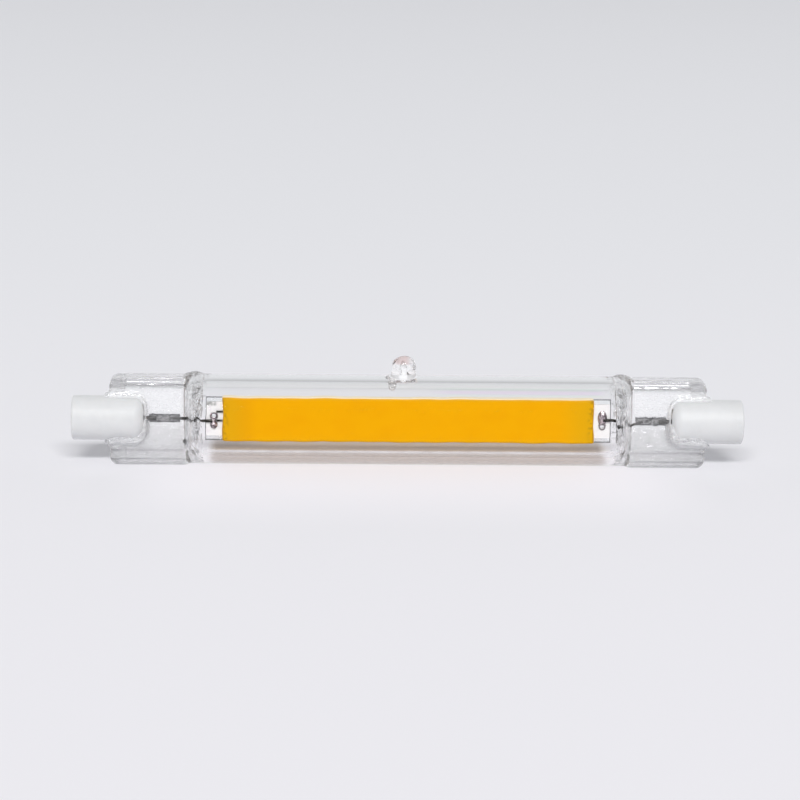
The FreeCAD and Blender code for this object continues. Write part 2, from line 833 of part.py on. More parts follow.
# Rectifier and driver stand at the left end, and the chip rows fill the rest.
rectifier_end = coat_end - size("rectifier_inset")
rectifier_start = rectifier_end - size("rectifier_length")
driver_end = rectifier_start - size("board_gap")
driver_start = driver_end - size("driver_length")
driver_face = strip_half + size("driver_thickness")
rectifier_half = size("rectifier_width") / 2
driver_half = size("driver_width") / 2
rectifier_chip = block(
    "rectifier_chip",
    (-rectifier_end, -rectifier_start),
    (-driver_face, -strip_half),
    (size("rectifier_rise") - rectifier_half, size("rectifier_rise") + rectifier_half),
)
driver_chip = block(
    "driver_chip",
    (-driver_end, -driver_start),
    (-driver_face, -strip_half),
    (-driver_half, driver_half),
)

jumpers = []
for name, sign in (("upper_jumper", 1), ("lower_jumper", -1)):
    jumpers.append(
        rod(
            name,
            size("jumper_radius"),
            -(eyelet_x - size("jumper_start")),
            -rectifier_end,
            -(wire_seat + size("jumper_radius")),
            size("rectifier_rise") + size("jumper_spread") * sign,
        )
    )
jumper_wires = group("jumper_wires", *jumpers)

track_half = size("track_width") / 2
track_face = strip_half + size("track_thickness")
chip_face = track_face + size("chip_thickness")
tracks = []
for row in (-1, 1):
    middle = size("row_offset") * row
    for low, high in ((-track_face, -strip_half), (strip_half, track_face)):
        tracks.append(
            block(
                "track",
                (-pad_start, pad_start),
                (low, high),
                (middle - track_half, middle + track_half),
            )
        )
printed_tracks = group("printed_tracks", *tracks)

row_start = size("board_gap") - driver_start
row_end = coat_end - size("row_inset") - size("chip_length")
chips = []
for row in (-1, 1):
    middle = size("row_offset") * row
    for column in range(int(size("chip_columns").value)):
        start = row_start + (row_end - row_start) * column / (size("chip_columns") - 1)
        chips.append(
            block(
                "chip",
                (start, start + size("chip_length")),
                (-chip_face, -track_face),
                (middle - size("chip_width") / 2, middle + size("chip_width") / 2),
            )
        )
led_chips_front = group("led_chips_front", *chips)
led_chips_back = mirrored("led_chips_back", led_chips_front)
led_chips_back.Normal = Vector(0, 1, 0)

# Solder holds each inner lead on its terminal. It builds up in ovals from the pad's face.


def mound(name, half_x, half_z, x, z):
    """Solder that rises from a pad in ovals, each smaller than the one below it."""
    ovals = []
    for share, reach in MOUND_SECTIONS:
        curve = DOC.addObject("Part::Ellipse", name + "_section")
        bind(curve, MajorRadius=half_z * reach, MinorRadius=half_x * reach)
        height = pad_face + size("solder_rise") * share
        ovals.append(place(curve, x, -height, AXIS + z, FACING))
    return loft(name, ovals)


def solder(name, side, half_width, half_height, middle, wires):
    """A mound round the end of a lead, with a bead at the foot of the left one."""
    x = eyelet_x * side
    pieces = [mound(name + "_mound", half_width, half_height, x, middle)]
    if side < 0:
        bead = size("bead_radius")
        pieces.append(mound(name + "_bead", bead, bead, x, middle - size("bead_drop")))
    rim = eyelet(name + "_rim", size("eyelet_radius"), pad_face + size("eyelet_rim"), side)
    return cut(name, fuse(name + "_pool", *pieces), fuse(name + "_held", rim, *wires))


solder_joint_left = solder(
    "solder_joint_left",
    -1,
    size("solder_half_width_left"),
    size("solder_half_height_left"),
    size("solder_offset_left"),
    [inner_lead_left, *jumpers],
)
solder_joint_right = solder(
    "solder_joint_right",
    1,
    size("solder_half_width_right"),
    size("solder_half_height_right"),
    size("solder_offset_right"),
    [inner_lead_right],
)

# One coat goes all round the strip and fills the room between everything on it.
coat_rise = strip_rise + size("coat_overhang")
coat_face = strip_half + size("coat_thickness")
coat_form = padded(
    "coat_form",
    "YZ_Plane",
    rounded_bar(coat_face, -coat_rise, coat_rise, least(size("coat_round"), coat_face * ROUND_SHARE)),
    coat_end * 2,
)
board = fuse("board", led_substrate, terminal_left, terminal_right)
coat_round_board = cut("coat_round_board", coat_form, board)
parts_on_board = group("parts_on_board", rectifier_chip, driver_chip, *tracks)
coat_round_parts = cut("coat_round_parts", coat_round_board, parts_on_board)
both_rows = group("both_rows", led_chips_front, led_chips_back)
coat_round_chips = cut("coat_round_chips", coat_round_parts, both_rows)
phosphor_coat = cut("phosphor_coat", coat_round_chips, jumper_wires)

PIECES = [
    glass_envelope,
    ceramic_cap_left,
    ceramic_cap_right,
    cap_cement_left,
    cap_cement_right,
    contact_left,
    contact_right,
    outer_lead_left,
    outer_lead_right,
    foil_left,
    foil_right,
    inner_lead_left,
    inner_lead_right,
    led_substrate,
    terminal_left,
    terminal_right,
    solder_joint_left,
    solder_joint_right,
    jumper_wires,
    printed_tracks,
    led_chips_front,
    led_chips_back,
    rectifier_chip,
    driver_chip,
    phosphor_coat,
]

DOC.recompute()
for item in DOC.Objects:
    if "Invalid" in item.State or "Error" in item.State:
        raise RuntimeError("%s did not build: %s" % (item.Label, item.State))
for piece in PIECES:
    if piece.Shape.isNull() or not piece.Shape.isValid() or not piece.Shape.Solids:
        raise RuntimeError("%s is not a valid solid" % piece.Label)

os.makedirs("parts", exist_ok=True)
for piece in PIECES:
    piece.Shape.exportStep("parts/%s.step" % piece.Label)
    box = piece.Shape.BoundBox
    corners = (box.XMin, box.XMax, box.YMin, box.YMax, box.ZMin, box.ZMax)
    print("%-20s %2d solids %9.3f mm3" % (piece.Label, len(piece.Shape.Solids), piece.Shape.Volume))
    print("    x %7.2f %7.2f  y %6.2f %6.2f  z %6.2f %6.2f" % corners)
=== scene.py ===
import logging
import math
from dataclasses import dataclass
from enum import Enum
from functools import cached_property, reduce

import bpy
import numpy as np
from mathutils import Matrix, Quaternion, Vector


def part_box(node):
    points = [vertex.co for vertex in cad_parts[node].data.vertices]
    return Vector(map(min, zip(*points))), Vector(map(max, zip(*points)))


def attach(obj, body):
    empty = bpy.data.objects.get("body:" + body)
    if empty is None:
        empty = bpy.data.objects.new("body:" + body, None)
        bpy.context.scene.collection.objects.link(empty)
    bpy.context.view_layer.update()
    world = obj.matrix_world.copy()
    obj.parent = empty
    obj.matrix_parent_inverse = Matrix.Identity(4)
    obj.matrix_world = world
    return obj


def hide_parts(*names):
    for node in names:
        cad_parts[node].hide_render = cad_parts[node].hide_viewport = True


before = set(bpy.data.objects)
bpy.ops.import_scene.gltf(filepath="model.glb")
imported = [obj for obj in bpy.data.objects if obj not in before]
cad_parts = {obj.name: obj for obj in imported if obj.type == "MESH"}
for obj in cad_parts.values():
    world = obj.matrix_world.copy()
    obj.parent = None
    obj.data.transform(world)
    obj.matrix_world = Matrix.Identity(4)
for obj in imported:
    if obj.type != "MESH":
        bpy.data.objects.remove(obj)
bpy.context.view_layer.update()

LOG = logging.getLogger("lamp")
# MM is one millimetre in metres. The axis's height and the radius of a profile's pointed end are in mm.
MM = 0.001
AXIS_HEIGHT = 8.0
POINT = 0.02
WAVE_SPREAD = (0.6, 1.7)
BODY = "root"
UP = Vector((0, 0, 1))

Object = bpy.types.Object
Material = bpy.types.Material
Socket = bpy.types.NodeSocket
Value = float | tuple | Socket
Number = float | np.ndarray


class Side(Enum):
    """The lamp's two ends."""

    LEFT = -1
    RIGHT = 1

    @property
    def word(self) -> str:
        """The end's name as the frame's nodes spell it."""
        return self.name.lower()

    @property
    def along(self) -> Vector:
        """The lamp's axis, from its middle towards this end."""
        return Vector((self.value, 0, 0))


class Operation(Enum):
    """How one closed mesh changes another."""

    UNION = "UNION"
    DIFFERENCE = "DIFFERENCE"
    INTERSECT = "INTERSECT"


def smooth_step(value: Number, low: float, high: float) -> Number:
    """Eases from 0 at low to 1 at high."""
    share = np.clip((np.asarray(value, float) - low) / (high - low), 0.0, 1.0)
    return share * share * (3.0 - 2.0 * share)


def straight_step(value: float, low: float, high: float) -> float:
    """Goes from 0 at low to 1 at high in a straight line."""
    return min(max((value - low) / (high - low), 0.0), 1.0)


def circle(share: Number) -> Number:
    """Height of a unit circle at a share of its radius: 1 at 0, and 0 from 1 on."""
    return np.sqrt(np.maximum(0.0, 1.0 - np.square(share)))


def turn(count: int, start: float = 0.0) -> np.ndarray:
    """Angles spread evenly over a full turn, in radians."""
    return np.linspace(start, start + math.tau, count, endpoint=False)


def spots(x: Number, y: Number, z: Number) -> np.ndarray:
    """Points from their coordinates, where a single number counts for all of them."""
    return np.stack(np.broadcast_arrays(x, y, z), axis=-1)


def waves(first: Number, second: Number, length: float, seed: int, count: int = 7) -> np.ndarray:
    """A smooth uneven pattern between about -1 and 1, the same at each run.

    Args:
        first: One coordinate of the points, in mm.
        second: Their other coordinate, in mm.
        length: Typical length of a wave, in mm.
        seed: Picks the pattern.
        count: How many plain waves are added up.

    Returns:
        The pattern's value at each point.
    """
    draw = np.random.default_rng(seed)
    total = np.zeros(np.broadcast(first, second).shape)
    for _ in range(count):
        heading = draw.uniform(0.0, math.tau)
        pace = math.tau / (length * draw.uniform(*WAVE_SPREAD))
        phase = draw.uniform(0.0, math.tau)
        total += np.sin(pace * (first * math.cos(heading) + second * math.sin(heading)) + phase)
    return total / math.sqrt(count)


def added(name: str, data: bpy.types.ID) -> Object:
    """Puts a mesh, a light or a camera into the scene.

    Args:
        name: The new object's name.
        data: What it shows.

    Returns:
        The object.
    """
    item = bpy.data.objects.new(name, data)
    bpy.context.scene.collection.objects.link(item)
    return item


def new_object(name: str, points: np.ndarray, faces: list, crease: float = 35.0) -> Object:
    """Makes a mesh object from points in mm.

    Args:
        name: The object's name.
        points: Its corners, in mm in the row frame.
        faces: Its faces, as lists of corner numbers.
        crease: Edges sharper than this angle stay sharp, in degrees.

    Returns:
        The object, linked into the scene.
    """
    mesh = bpy.data.meshes.new(name)
    mesh.from_pydata([tuple(p) for p in np.asarray(points, float) * MM], [], faces)
    mesh.validate()
    mesh.update()
    soften(mesh, crease)
    return added(name, mesh)


def soften(mesh: bpy.types.Mesh, crease: float) -> None:
    """Shades a mesh smooth, but for its sharp edges.

    Args:
        mesh: The mesh.
        crease: Edges sharper than this angle stay sharp, in degrees.
    """
    mesh.polygons.foreach_set("use_smooth", [True] * len(mesh.polygons))
    mesh.set_sharp_from_angle(angle=math.radians(crease))
    mesh.update()


def face_outwards(mesh: bpy.types.Mesh) -> None:
    """Turns a closed mesh's faces to look out, by the sign of its volume.

    Args:
        mesh: The mesh.
    """
    mesh.calc_loop_triangles()
    corners = np.array([v.co for v in mesh.vertices])
    picks = np.array([t.vertices for t in mesh.loop_triangles])
    a, b, c = (corners[picks[:, k]] for k in range(3))
    if np.einsum("ij,ij->i", a, np.cross(b, c)).sum() < 0:
        mesh.flip_normals()


def skin(name: str, rings: np.ndarray, crease: float = 35.0) -> Object:
    """A closed skin over a row of rings.

    Args:
        name: The object's name.
        rings: An array of rings by points by coordinates, in mm.
        crease: Edges sharper than this angle stay sharp, in degrees.

    Returns:
        The object, with its faces looking outwards.
    """
    rings = np.asarray(rings, float)
    count, around = rings.shape[:2]
    ahead = np.roll(np.arange(around), -1)
    faces = []
    for ring in range(count - 1):
        here = ring * around
        there = here + around
        faces += [(here + k, here + n, there + n, there + k) for k, n in enumerate(ahead)]
    for ring, order in ((0, -1), (count - 1, 1)):
        corners = list(range(ring * around, (ring + 1) * around))
        faces.append(tuple(corners[::order]))
    item = new_object(name, rings.reshape(-1, 3), faces, crease)
    face_outwards(item.data)
    return item


def turned(name: str, profile: list, centre: tuple, along: Vector, steps: int) -> Object:
    """A closed solid turned about an axis.

    Args:
        name: The object's name.
        profile: Rows of distance along the axis and radius, in mm. The first and last radius are small.
        centre: Where distance 0 lies, in mm.
        along: The axis.
        steps: How many points go round it.

    Returns:
        The object.
    """
    aside = Vector((0, 1, 0)) if abs(along.y) < 0.5 else UP
    angles = turn(steps)
    spread = np.outer(np.cos(angles), aside) + np.outer(np.sin(angles), along.cross(aside))
    rows = np.array(profile)
    rings = np.asarray(centre)[None, None] + rows[:, None, :1] * np.asarray(along)[None, None]
    return skin(name, rings + rows[:, None, 1:] * spread[None])


def arc(centre: tuple, radius: float, start: float, finish: float, steps: int) -> list:
    """Points of a round stretch of a profile.

    Args:
        centre: Its middle, as distance along the axis and radius.
        radius: Its radius.
        start: Where it starts, in degrees.
        finish: Where it ends, in degrees.
        steps: How many runs it has.

    Returns:
        Its points, both ends among them.
    """
    angles = np.radians(np.linspace(start, finish, steps + 1))
    return [(centre[0] + radius * math.cos(t), centre[1] + radius * math.sin(t)) for t in angles]


def combine(base: Object, tool: Object, operation: Operation) -> None:
    """Changes base by tool and removes the tool.

    Args:
        base: The closed mesh that stays.
        tool: The closed mesh that is used up.
        operation: What is done with it.
    """
    change = base.modifiers.new("change", "BOOLEAN")
    change.operation = operation.value
    change.solver = "EXACT"
    change.object = tool
    graph = bpy.context.evaluated_depsgraph_get()
    made = bpy.data.meshes.new_from_object(base.evaluated_get(graph))
    base.modifiers.clear()
    spent = (base.data, tool.data)
    base.data = made
    made.name = base.name
    bpy.data.objects.remove(tool)
    for mesh in spent:
        bpy.data.meshes.remove(mesh)


@dataclass(frozen=True)
class Grain:
    """A noise pattern.

    Args:
        size: Typical size of its patches, in mm.
        detail: How many finer layers it has.
        stretch: How much longer it is along X, Y and Z.
        rough: How strong the finer layers are.
    """

    size: float
    detail: float = 2.0
    stretch: tuple = (1.0, 1.0, 1.0)
    rough: float = 0.5


class Tree:
    """A material's nodes, with short calls to add and join them."""

    store = "materials"
    ending = "OutputMaterial"

    def __init__(self, name: str) -> None:
        """Starts with no nodes but the output.

        Args:
            name: The material's name.
        """
        self.owner = getattr(bpy.data, self.store).new(name)
        self.owner.use_nodes = True
        self.nodes = self.owner.node_tree.nodes
        self.nodes.clear()
        self.output = self.add(self.ending)

    def feed(self, socket: Socket, value: Value) -> None:
        """Gives a socket its value, or the socket that it takes it from.

        Args:
            socket: The socket to fill.
            value: A number, a colour, a vector or another socket.
        """
        if isinstance(value, Socket):
            self.owner.node_tree.links.new(value, socket)
        elif socket.type == "RGBA":
            socket.default_value = (*value, 1.0)
        else:
            socket.default_value = value

    def add(self, kind: str, settings: dict | None = None, **inputs: Value) -> bpy.types.Node:
        """Adds a node.

        Args:
            kind: The node's type, without its usual opening.
            settings: Its properties.
            **inputs: Its sockets' values or sources, with spaces in names written as underscores.

        Returns:
            The node.
        """
        node = self.nodes.new("ShaderNode" + kind)
        for name, value in (settings or {}).items():
            setattr(node, name, value)
        for name, value in inputs.items():
            self.feed(node.inputs[name.replace("_", " ")], value)
        return node

    def place(self) -> Socket:
        """Points in the row frame, in metres: every piece's origin lies at the frame's."""
        return self.add("TexCoord").outputs["Object"]

    @cached_property
    def parts(self) -> dict:
        """The row frame's X, Y and Z at each point, in metres."""
        split = self.add("SeparateXYZ", Vector=self.place())
        return {axis: split.outputs[axis] for axis in "XYZ"}

    def sum(self, kind: str, *values: Value) -> Socket:
        """Arithmetic on numbers or sockets.

        Args:
            kind: The operation, as the Math node names it.
            *values: What it works on.

        Returns:
            The socket of the result.
        """
        node = self.add("Math", {"operation": kind})
        for socket, value in zip(node.inputs, values):
            self.feed(socket, value)
        return node.outputs[0]

    def times(self, *values: Value) -> Socket:
        """The product of numbers or sockets."""
        return reduce(lambda one, other: self.sum("MULTIPLY", one, other), values)

    def most(self, *values: Value) -> Socket:
        """The greatest of numbers or sockets."""
        return reduce(lambda one, other: self.sum("MAXIMUM", one, other), values)

    def off(self, axis: str, middle: float = 0.0) -> Socket:
        """How far each point is along an axis from a middle in mm, either way."""
        return self.sum("ABSOLUTE", self.sum("SUBTRACT", self.parts[axis], middle * MM))

    def noise(self, grain: Grain) -> Socket:
        """The value of a noise pattern.

        Args:
            grain: The pattern.

        Returns:
            The socket of its value.
        """
        scale = tuple(1.0 / (grain.size * MM * share) for share in grain.stretch)
        point = self.add("Mapping", Vector=self.place(), Scale=scale).outputs[0]
        node = self.add("TexNoise", Vector=point, Scale=1.0, Detail=grain.detail, Roughness=grain.rough)
        return node.outputs["Fac"]

    def between(self, value: Socket, low: float, high: float, start: float = 0.0, end: float = 1.0) -> Socket:
        """Eases from start to end as value goes from low to high.

        Args:
            value: What it follows.
            low: Where it leaves start.
            high: Where it reaches end.
            start: Its first value.
            end: Its last value.

        Returns:
            The socket of the eased value.
        """
        node = self.add("MapRange", {"interpolation_type": "SMOOTHSTEP"}, Value=value)
        for name, number in (("From Min", low), ("From Max", high), ("To Min", start), ("To Max", end)):
            node.inputs[name].default_value = number
        return node.outputs[0]

    def span(self, length: str | Socket, low: float, high: float, *ends: float) -> Socket:
        """Eases as between does, for an axis or a length in metres, with limits in mm."""
        socket = self.parts[length] if isinstance(length, str) else length
        return self.between(socket, low * MM, high * MM, *ends)

    def band(self, length: str | Socket, zone: tuple) -> Socket:
        """Eases from 0 to 1 and back.

        Args:
            length: What it follows, an axis or a length in metres.
            zone: Where it leaves 0, reaches 1, leaves 1 and reaches 0, in mm.

        Returns:
            The socket of the share.
        """
        start, full, last, end = zone
        return self.times(self.span(length, start, full), self.span(length, last, end, 1.0, 0.0))

    def near(self, first: Socket, second: Socket, inner: float, outer: float) -> Socket:
        """Fades from 1 to 0 with the distance that two lengths at a right angle give.

        Args:
            first: One length, in metres.
            second: The other length.
            inner: The distance up to which it is 1, in mm.
            outer: The distance from which it is 0, in mm.

        Returns:
            The socket of the share.
        """
        squares = [self.sum("POWER", length, 2.0) for length in (first, second)]
        away = self.sum("SQRT", self.sum("ADD", *squares))
        return self.span(away, inner, outer, 1.0, 0.0)

    def ramp(self, start: float, stops: tuple) -> Socket:
        """Colours that follow the height above the floor.

        Args:
            start: Where the ramp starts, in mm.
            stops: Rows of height in mm and colour, rising.

        Returns:
            The socket of the colour.
        """
        end = stops[-1][0]
        share = self.add("MapRange", Value=self.parts["Z"], From_Min=start * MM, From_Max=end * MM)
        node = self.add("ValToRGB", Fac=share.outputs[0])
        marks = node.color_ramp.elements
        while len(marks) < len(stops):
            marks.new(1.0)
        for mark, (level, colour) in zip(marks, stops):
            mark.position = (level - start) / (end - start)
            mark.color = (*colour, 1.0)
        return node.outputs["Color"]

    def mixed(self, share: Socket, first: Value, second: Value) -> Socket:
        """A blend of two colours."""
        return self.add("MixRGB", Fac=share, Color1=first, Color2=second).outputs[0]

    def bump(self, height: Socket, depth: float, *under: Socket) -> Socket:
        """A relief.

        Args:
            height: Its height, where 1 stands for depth.
            depth: Its depth, in mm.
            *under: The relief that it lies on, where there is one.

        Returns:
            The socket of the normal.
        """
        node = self.add("Bump", Height=height, Distance=depth * MM, Strength=1.0)
        for normal in under:
            self.feed(node.inputs["Normal"], normal)
        return node.outputs[0]

    def shade(self, **inputs: Value) -> Socket:
        """A Principled shader, from its sockets' values or sources."""
        return self.add("BsdfPrincipled", **inputs).outputs[0]

    def coated(self, **inputs: Value) -> Material:
        """The material of one Principled shader, from its sockets' values or sources."""
        return self.finish(self.shade(**inputs))

    def blend(self, share: Socket, first: Socket, second: Socket) -> Socket:
        """A mix of two shaders.

        Args:
            share: How much of the second there is.
            first: The first shader.
            second: The second one.

        Returns:
            The mixed shader.
        """
        node = self.add("MixShader", Fac=share)
        self.feed(node.inputs[1], first)
        self.feed(node.inputs[2], second)
        return node.outputs[0]

    def pass_light(self, shader: Socket, tint: tuple) -> Socket:
        """Lets light from lamps and lit surfaces through a finish unbent, so that its shadow is pale.

        Args:
            shader: The finish.
            tint: The share of the light that passes each surface.

        Returns:
            The mixed shader.
        """
        ray = self.add("LightPath").outputs
        unbent = self.most(ray["Is Shadow Ray"], ray["Is Diffuse Ray"])
        return self.blend(unbent, shader, self.add("BsdfTransparent", Color=tint).outputs[0])

    def finish(self, shader: Socket) -> bpy.types.ID:
        """Joins a shader to the output and gives what the nodes belong to."""
        self.feed(self.output.inputs["Surface"], shader)
        return self.owner


class RoomTree(Tree):
    """The nodes of the room that lights the lamp from all round."""

    store = "worlds"
    ending = "OutputWorld"


@dataclass(frozen=True)
class ClearGlass:
    """Clear glass: smooth on the tube, rippled where the seals were pressed, scorched at the tip.

    Sizes are in mm. A reach is a distance from the lamp's middle, and a height one from the surface that
    the lamp lies on. Tones are rows of a height and a colour.
    """

    tint: tuple = (0.99, 0.99, 0.992)
    # Tube tints by height: the dark stops low down are painted shade along the tube's foot,
    # and the warm stops above them are a painted reflection of the strip.
    sides: tuple = (
        (0.0, (0.60, 0.565, 0.54)),
        (1.2, (0.57, 0.525, 0.49)),
        (2.2, (0.61, 0.565, 0.525)),
        (2.7, (0.82, 0.785, 0.765)),
        (3.1, (0.99, 0.97, 0.97)),
        (3.8, (0.99, 0.97, 0.96)),
        (4.2, (1.0, 0.97, 0.92)),
        (4.9, (1.0, 0.97, 0.92)),
        (5.3, (0.99, 0.99, 0.992)),
    )
    # Seal tints by height: the dark stops are painted shade at each seal's foot and along its rails' grooves
    # and shelves.
    seal: tuple = (
        (0.0, (0.52, 0.52, 0.53)),
        (0.5, (0.66, 0.66, 0.67)),
        (0.8, (0.97, 0.97, 0.97)),
        (1.1, (0.45, 0.45, 0.46)),
        (1.4, (1.0, 1.0, 1.0)),
        (2.4, (1.0, 1.0, 1.0)),
        (2.6, (0.45, 0.45, 0.46)),
        (2.8, (1.0, 1.0, 1.0)),
        (13.5, (1.0, 1.0, 1.0)),
        (13.8, (0.72, 0.72, 0.73)),
        (14.15, (0.64, 0.64, 0.65)),
        (14.5, (0.82, 0.82, 0.83)),
        (14.9, (0.68, 0.68, 0.69)),
        (15.2, (0.74, 0.74, 0.75)),
        (15.45, (1.0, 1.0, 1.0)),
    )
    # A painted rainbow reflection: tints by height high on the tube, towards its right end.
    painted_rainbow: tuple = (
        (10.9, (1.0, 1.0, 1.0)),
        (11.3, (1.0, 0.985, 0.93)),
        (11.6, (0.94, 1.0, 0.95)),
        (12.1, (0.98, 0.90, 1.0)),
        (12.6, (0.98, 0.90, 1.0)),
        (13.1, (0.90, 1.0, 0.94)),
        (13.6, (1.0, 1.0, 1.0)),
    )
    painted_rainbow_start: float = 10.5
    painted_rainbow_reach: tuple = (2.0, 9.0)
    painted_rainbow_depth: tuple = (-1.0, 1.0)
    tube_reach: tuple = (33.5, 35.5)
    seal_reach: tuple = (38.9, 39.6)
    upper_half: tuple = (9.0, 9.4)
    scorch: tuple = (0.66, 0.48, 0.46)
    scorch_height: tuple = (18.0, 18.5)
    scorch_side: tuple = (-0.6, 0.6, 1.0, 0.1)
    vein: tuple = (0.03, 0.03, 0.032)
    vein_grain: Grain = Grain(0.9, 1.5, (1.0, 1.0, 4.0))
    vein_gaps: Grain = Grain(1.6, 1.0)
    vein_level: float = 0.5
    vein_line: tuple = (0.0, 0.03, 0.85, 0.0)
    vein_breaks: tuple = (0.42, 0.6)
    vein_reach: tuple = (36.0, 36.6, 39.0, 39.5)
    fleck: tuple = (-39.1, 4.15)
    fleck_size: tuple = (0.34, 0.48)
    fleck_side: tuple = (-0.5, 0.0, 1.0, 0.0)
    ior: float = 1.46
    glare: float = 0.003
    glare_reach: tuple = (37.4, 38.6)
    glare_rise: tuple = (4.3, 5.3)
    rail_glare: tuple = (13.1, 13.4, 0.0, 0.7)
    shadow_tint: tuple = (0.985, 0.985, 0.985)
    press_reach: tuple = (38.2, 40.0)
    calm_height: tuple = (5.4, 7.6, 1.0, 0.14)
    calm_rail: tuple = (13.4, 13.9, 1.0, 0.15)
    corner_reach: tuple = (49.2, 50.2)
    corner_height: tuple = (12.6, 13.2)
    shoulder: tuple = (35.6, 36.4, 39.0, 39.8)
    fold_share: float = 0.03
    draw: Grain = Grain(6.0, 1.0, (8.0, 1.0, 1.0))
    draw_depth: float = 0.012
    creases: Grain = Grain(0.8, 2.0, (1.0, 1.0, 3.2), 0.6)
    crease_depth: float = 0.14
    streaks: Grain = Grain(0.34, 3.0, (3.4, 1.0, 1.0), 0.6)
    streak_depth: float = 0.5
    specks: Grain = Grain(0.26)
    speck_depth: float = 0.3
    cap: tuple = (1.8, 3.9, 46.3)
    meniscus_width: float = 1.2
    meniscus_depth: float = 0.5
    drop: tuple = (-2.9, 0.0, 13.4)
    drop_ripples: tuple = (1.3, 1.7)
    drop_core: tuple = (0.5, 0.95)
    drop_milk: float = 0.7
    milk: tuple = (0.88, 0.885, 0.9)
    milk_reach: tuple = (39.3, 40.0)
    milk_streaks: Grain = Grain(0.5, 3.0, (3.4, 1.0, 1.0), 0.6)
    milk_share: tuple = (0.3, 0.65, 0.55, 1.0)
    web_step: tuple = (8.7, 9.3, 0.12, 0.34)
    web_zone: tuple = (2.6, 3.0, 12.6, 13.6)
    lobe_reach: tuple = (46.4, 47.4)
    lobe_height: float = 4.3
    lobe_half: tuple = (0.5, 1.0, 1.0, 0.0)
    # Milk of the lobe under each cap: a painted glint.
    lobe_painted_glint: float = 0.6
    band_share: tuple = (0.3, 0.9)
    band_milk: float = 0.5
    column_x: float = -0.85
    column_half: tuple = (0.3, 0.6, 1.0, 0.0)
    column_height: tuple = (15.9, 16.1, 17.4, 17.8)
    column_milk: float = 0.5
    tip_x: float = -1.0
    foot_height: tuple = (15.2, 15.4, 16.2, 16.8)
    foot_radius: tuple = (2.35, 2.7)
    foot_milk: float = 0.7
    # A broken milky line round the tube at a height of 3.7 mm: a painted highlight.
    painted_highlight_height: float = 3.7
    painted_highlight_half: tuple = (0.0, 0.42, 1.0, 0.0)
    painted_highlight_reach: tuple = (35.0, 36.0, 1.0, 0.0)
    painted_highlight_gaps: Grain = Grain(3.0)
    line_share: tuple = (0.3, 0.7, 0.6, 1.0)
    painted_highlight_milk: float = 0.5

    def relief(self, tree: Tree) -> Socket:
        """The pressed seals' fine ripples: long streaks along the lamp, small specks and the folds.

        Args:
            tree: The material's nodes.

        Returns:
            The socket of the normal.
        """
        reach = tree.off("X")
        calm = tree.times(tree.span("Z", *self.calm_height), tree.span("Z", *self.calm_rail))
        corner = tree.times(tree.span(reach, *self.corner_reach), tree.span("Z", *self.corner_height))
        pressed = tree.times(tree.span(reach, *self.press_reach), tree.most(calm, corner))
        shoulder = tree.band(reach, self.shoulder)
        drop = self.near_drop(tree, *self.drop_ripples)
        share = tree.most(pressed, tree.times(shoulder, self.fold_share), drop)
        normal = tree.bump(tree.noise(self.draw), self.draw_depth)
        normal = tree.bump(self.meniscus(tree), self.meniscus_depth, normal)
        normal = tree.bump(tree.times(tree.noise(self.creases), shoulder), self.crease_depth, normal)
        normal = tree.bump(tree.times(tree.noise(self.streaks), share), self.streak_depth, normal)
        return tree.bump(tree.times(tree.noise(self.specks), share), self.speck_depth, normal)

    def meniscus(self, tree: Tree) -> Socket:
        """How the melted glass climbs towards each cap: 1 at the cap, 0 a little way off.

        Args:
            tree: The material's nodes.

        Returns:
            The socket of the share.
        """
        nose, radius, start = self.cap
        ahead = tree.sum("SUBTRACT", (start + nose) * MM, tree.off("X"))
        beyond = tree.sum("SUBTRACT", tree.off("Z", AXIS_HEIGHT), (radius - nose) * MM)
        sides = [tree.sum("MAXIMUM", length, 0.0) for length in (ahead, beyond)]
        return tree.near(*sides, nose, nose + self.meniscus_width)

    def near_drop(self, tree: Tree, inner: float, outer: float) -> Socket:
        """Fades from 1 to 0 with the distance from the middle of the melted drop.

        Args:
            tree: The material's nodes.
            inner: Where it leaves 1, in mm.
            outer: Where it reaches 0, in mm.

        Returns:
            The socket of the share.
        """
        beside = tree.add("VectorMath", {"operation": "DISTANCE"}, Vector=tree.place())
        beside.inputs[1].default_value = [n * MM for n in self.drop]
        return tree.span(beside.outputs["Value"], inner, outer, 1.0, 0.0)

    def seal_haze(self, tree: Tree) -> Socket:
        """How milky the seals are: at their webs and beside the caps, and under the caps as a painted glint.

        Args:
            tree: The material's nodes.

        Returns:
            The socket of the share.
        """
        reach = tree.off("X")
        web = tree.times(tree.span("Z", *self.web_step), tree.band("Z", self.web_zone))
        under_cap = tree.span(tree.off("Z", self.lobe_height), *self.lobe_half)
        # Painted glint: the milky lobe under each cap.
        lobe = tree.times(tree.span(reach, *self.lobe_reach), under_cap, self.lobe_painted_glint)
        beside = tree.times(tree.between(self.meniscus(tree), *self.band_share), self.band_milk)
        streaks = tree.between(tree.noise(self.milk_streaks), *self.milk_share)
        return tree.times(tree.most(web, lobe, beside), tree.span(reach, *self.milk_reach), streaks)

    def tip_haze(self, tree: Tree) -> Socket:
        """How milky the glass is at the tip: its drop, its bright column and its foot.

        Args:
            tree: The material's nodes.

        Returns:
            The socket of the share.
        """
        drop = tree.times(self.near_drop(tree, *self.drop_core), self.drop_milk)
        aside = tree.span(tree.off("X", self.column_x), *self.column_half)
        column = tree.times(aside, tree.band("Z", self.column_height), self.column_milk)
        foot = tree.times(tree.band("Z", self.foot_height), self.foot_milk)
        around = tree.near(tree.off("X", self.tip_x), tree.off("Y"), *self.foot_radius)
        return tree.most(drop, column, tree.times(foot, around))

    def haze(self, tree: Tree) -> Socket:
        """How milky the glass is: at the seals, at the tip and in a painted highlight line low on the tube.

        Args:
            tree: The material's nodes.

        Returns:
            The socket of the share.
        """
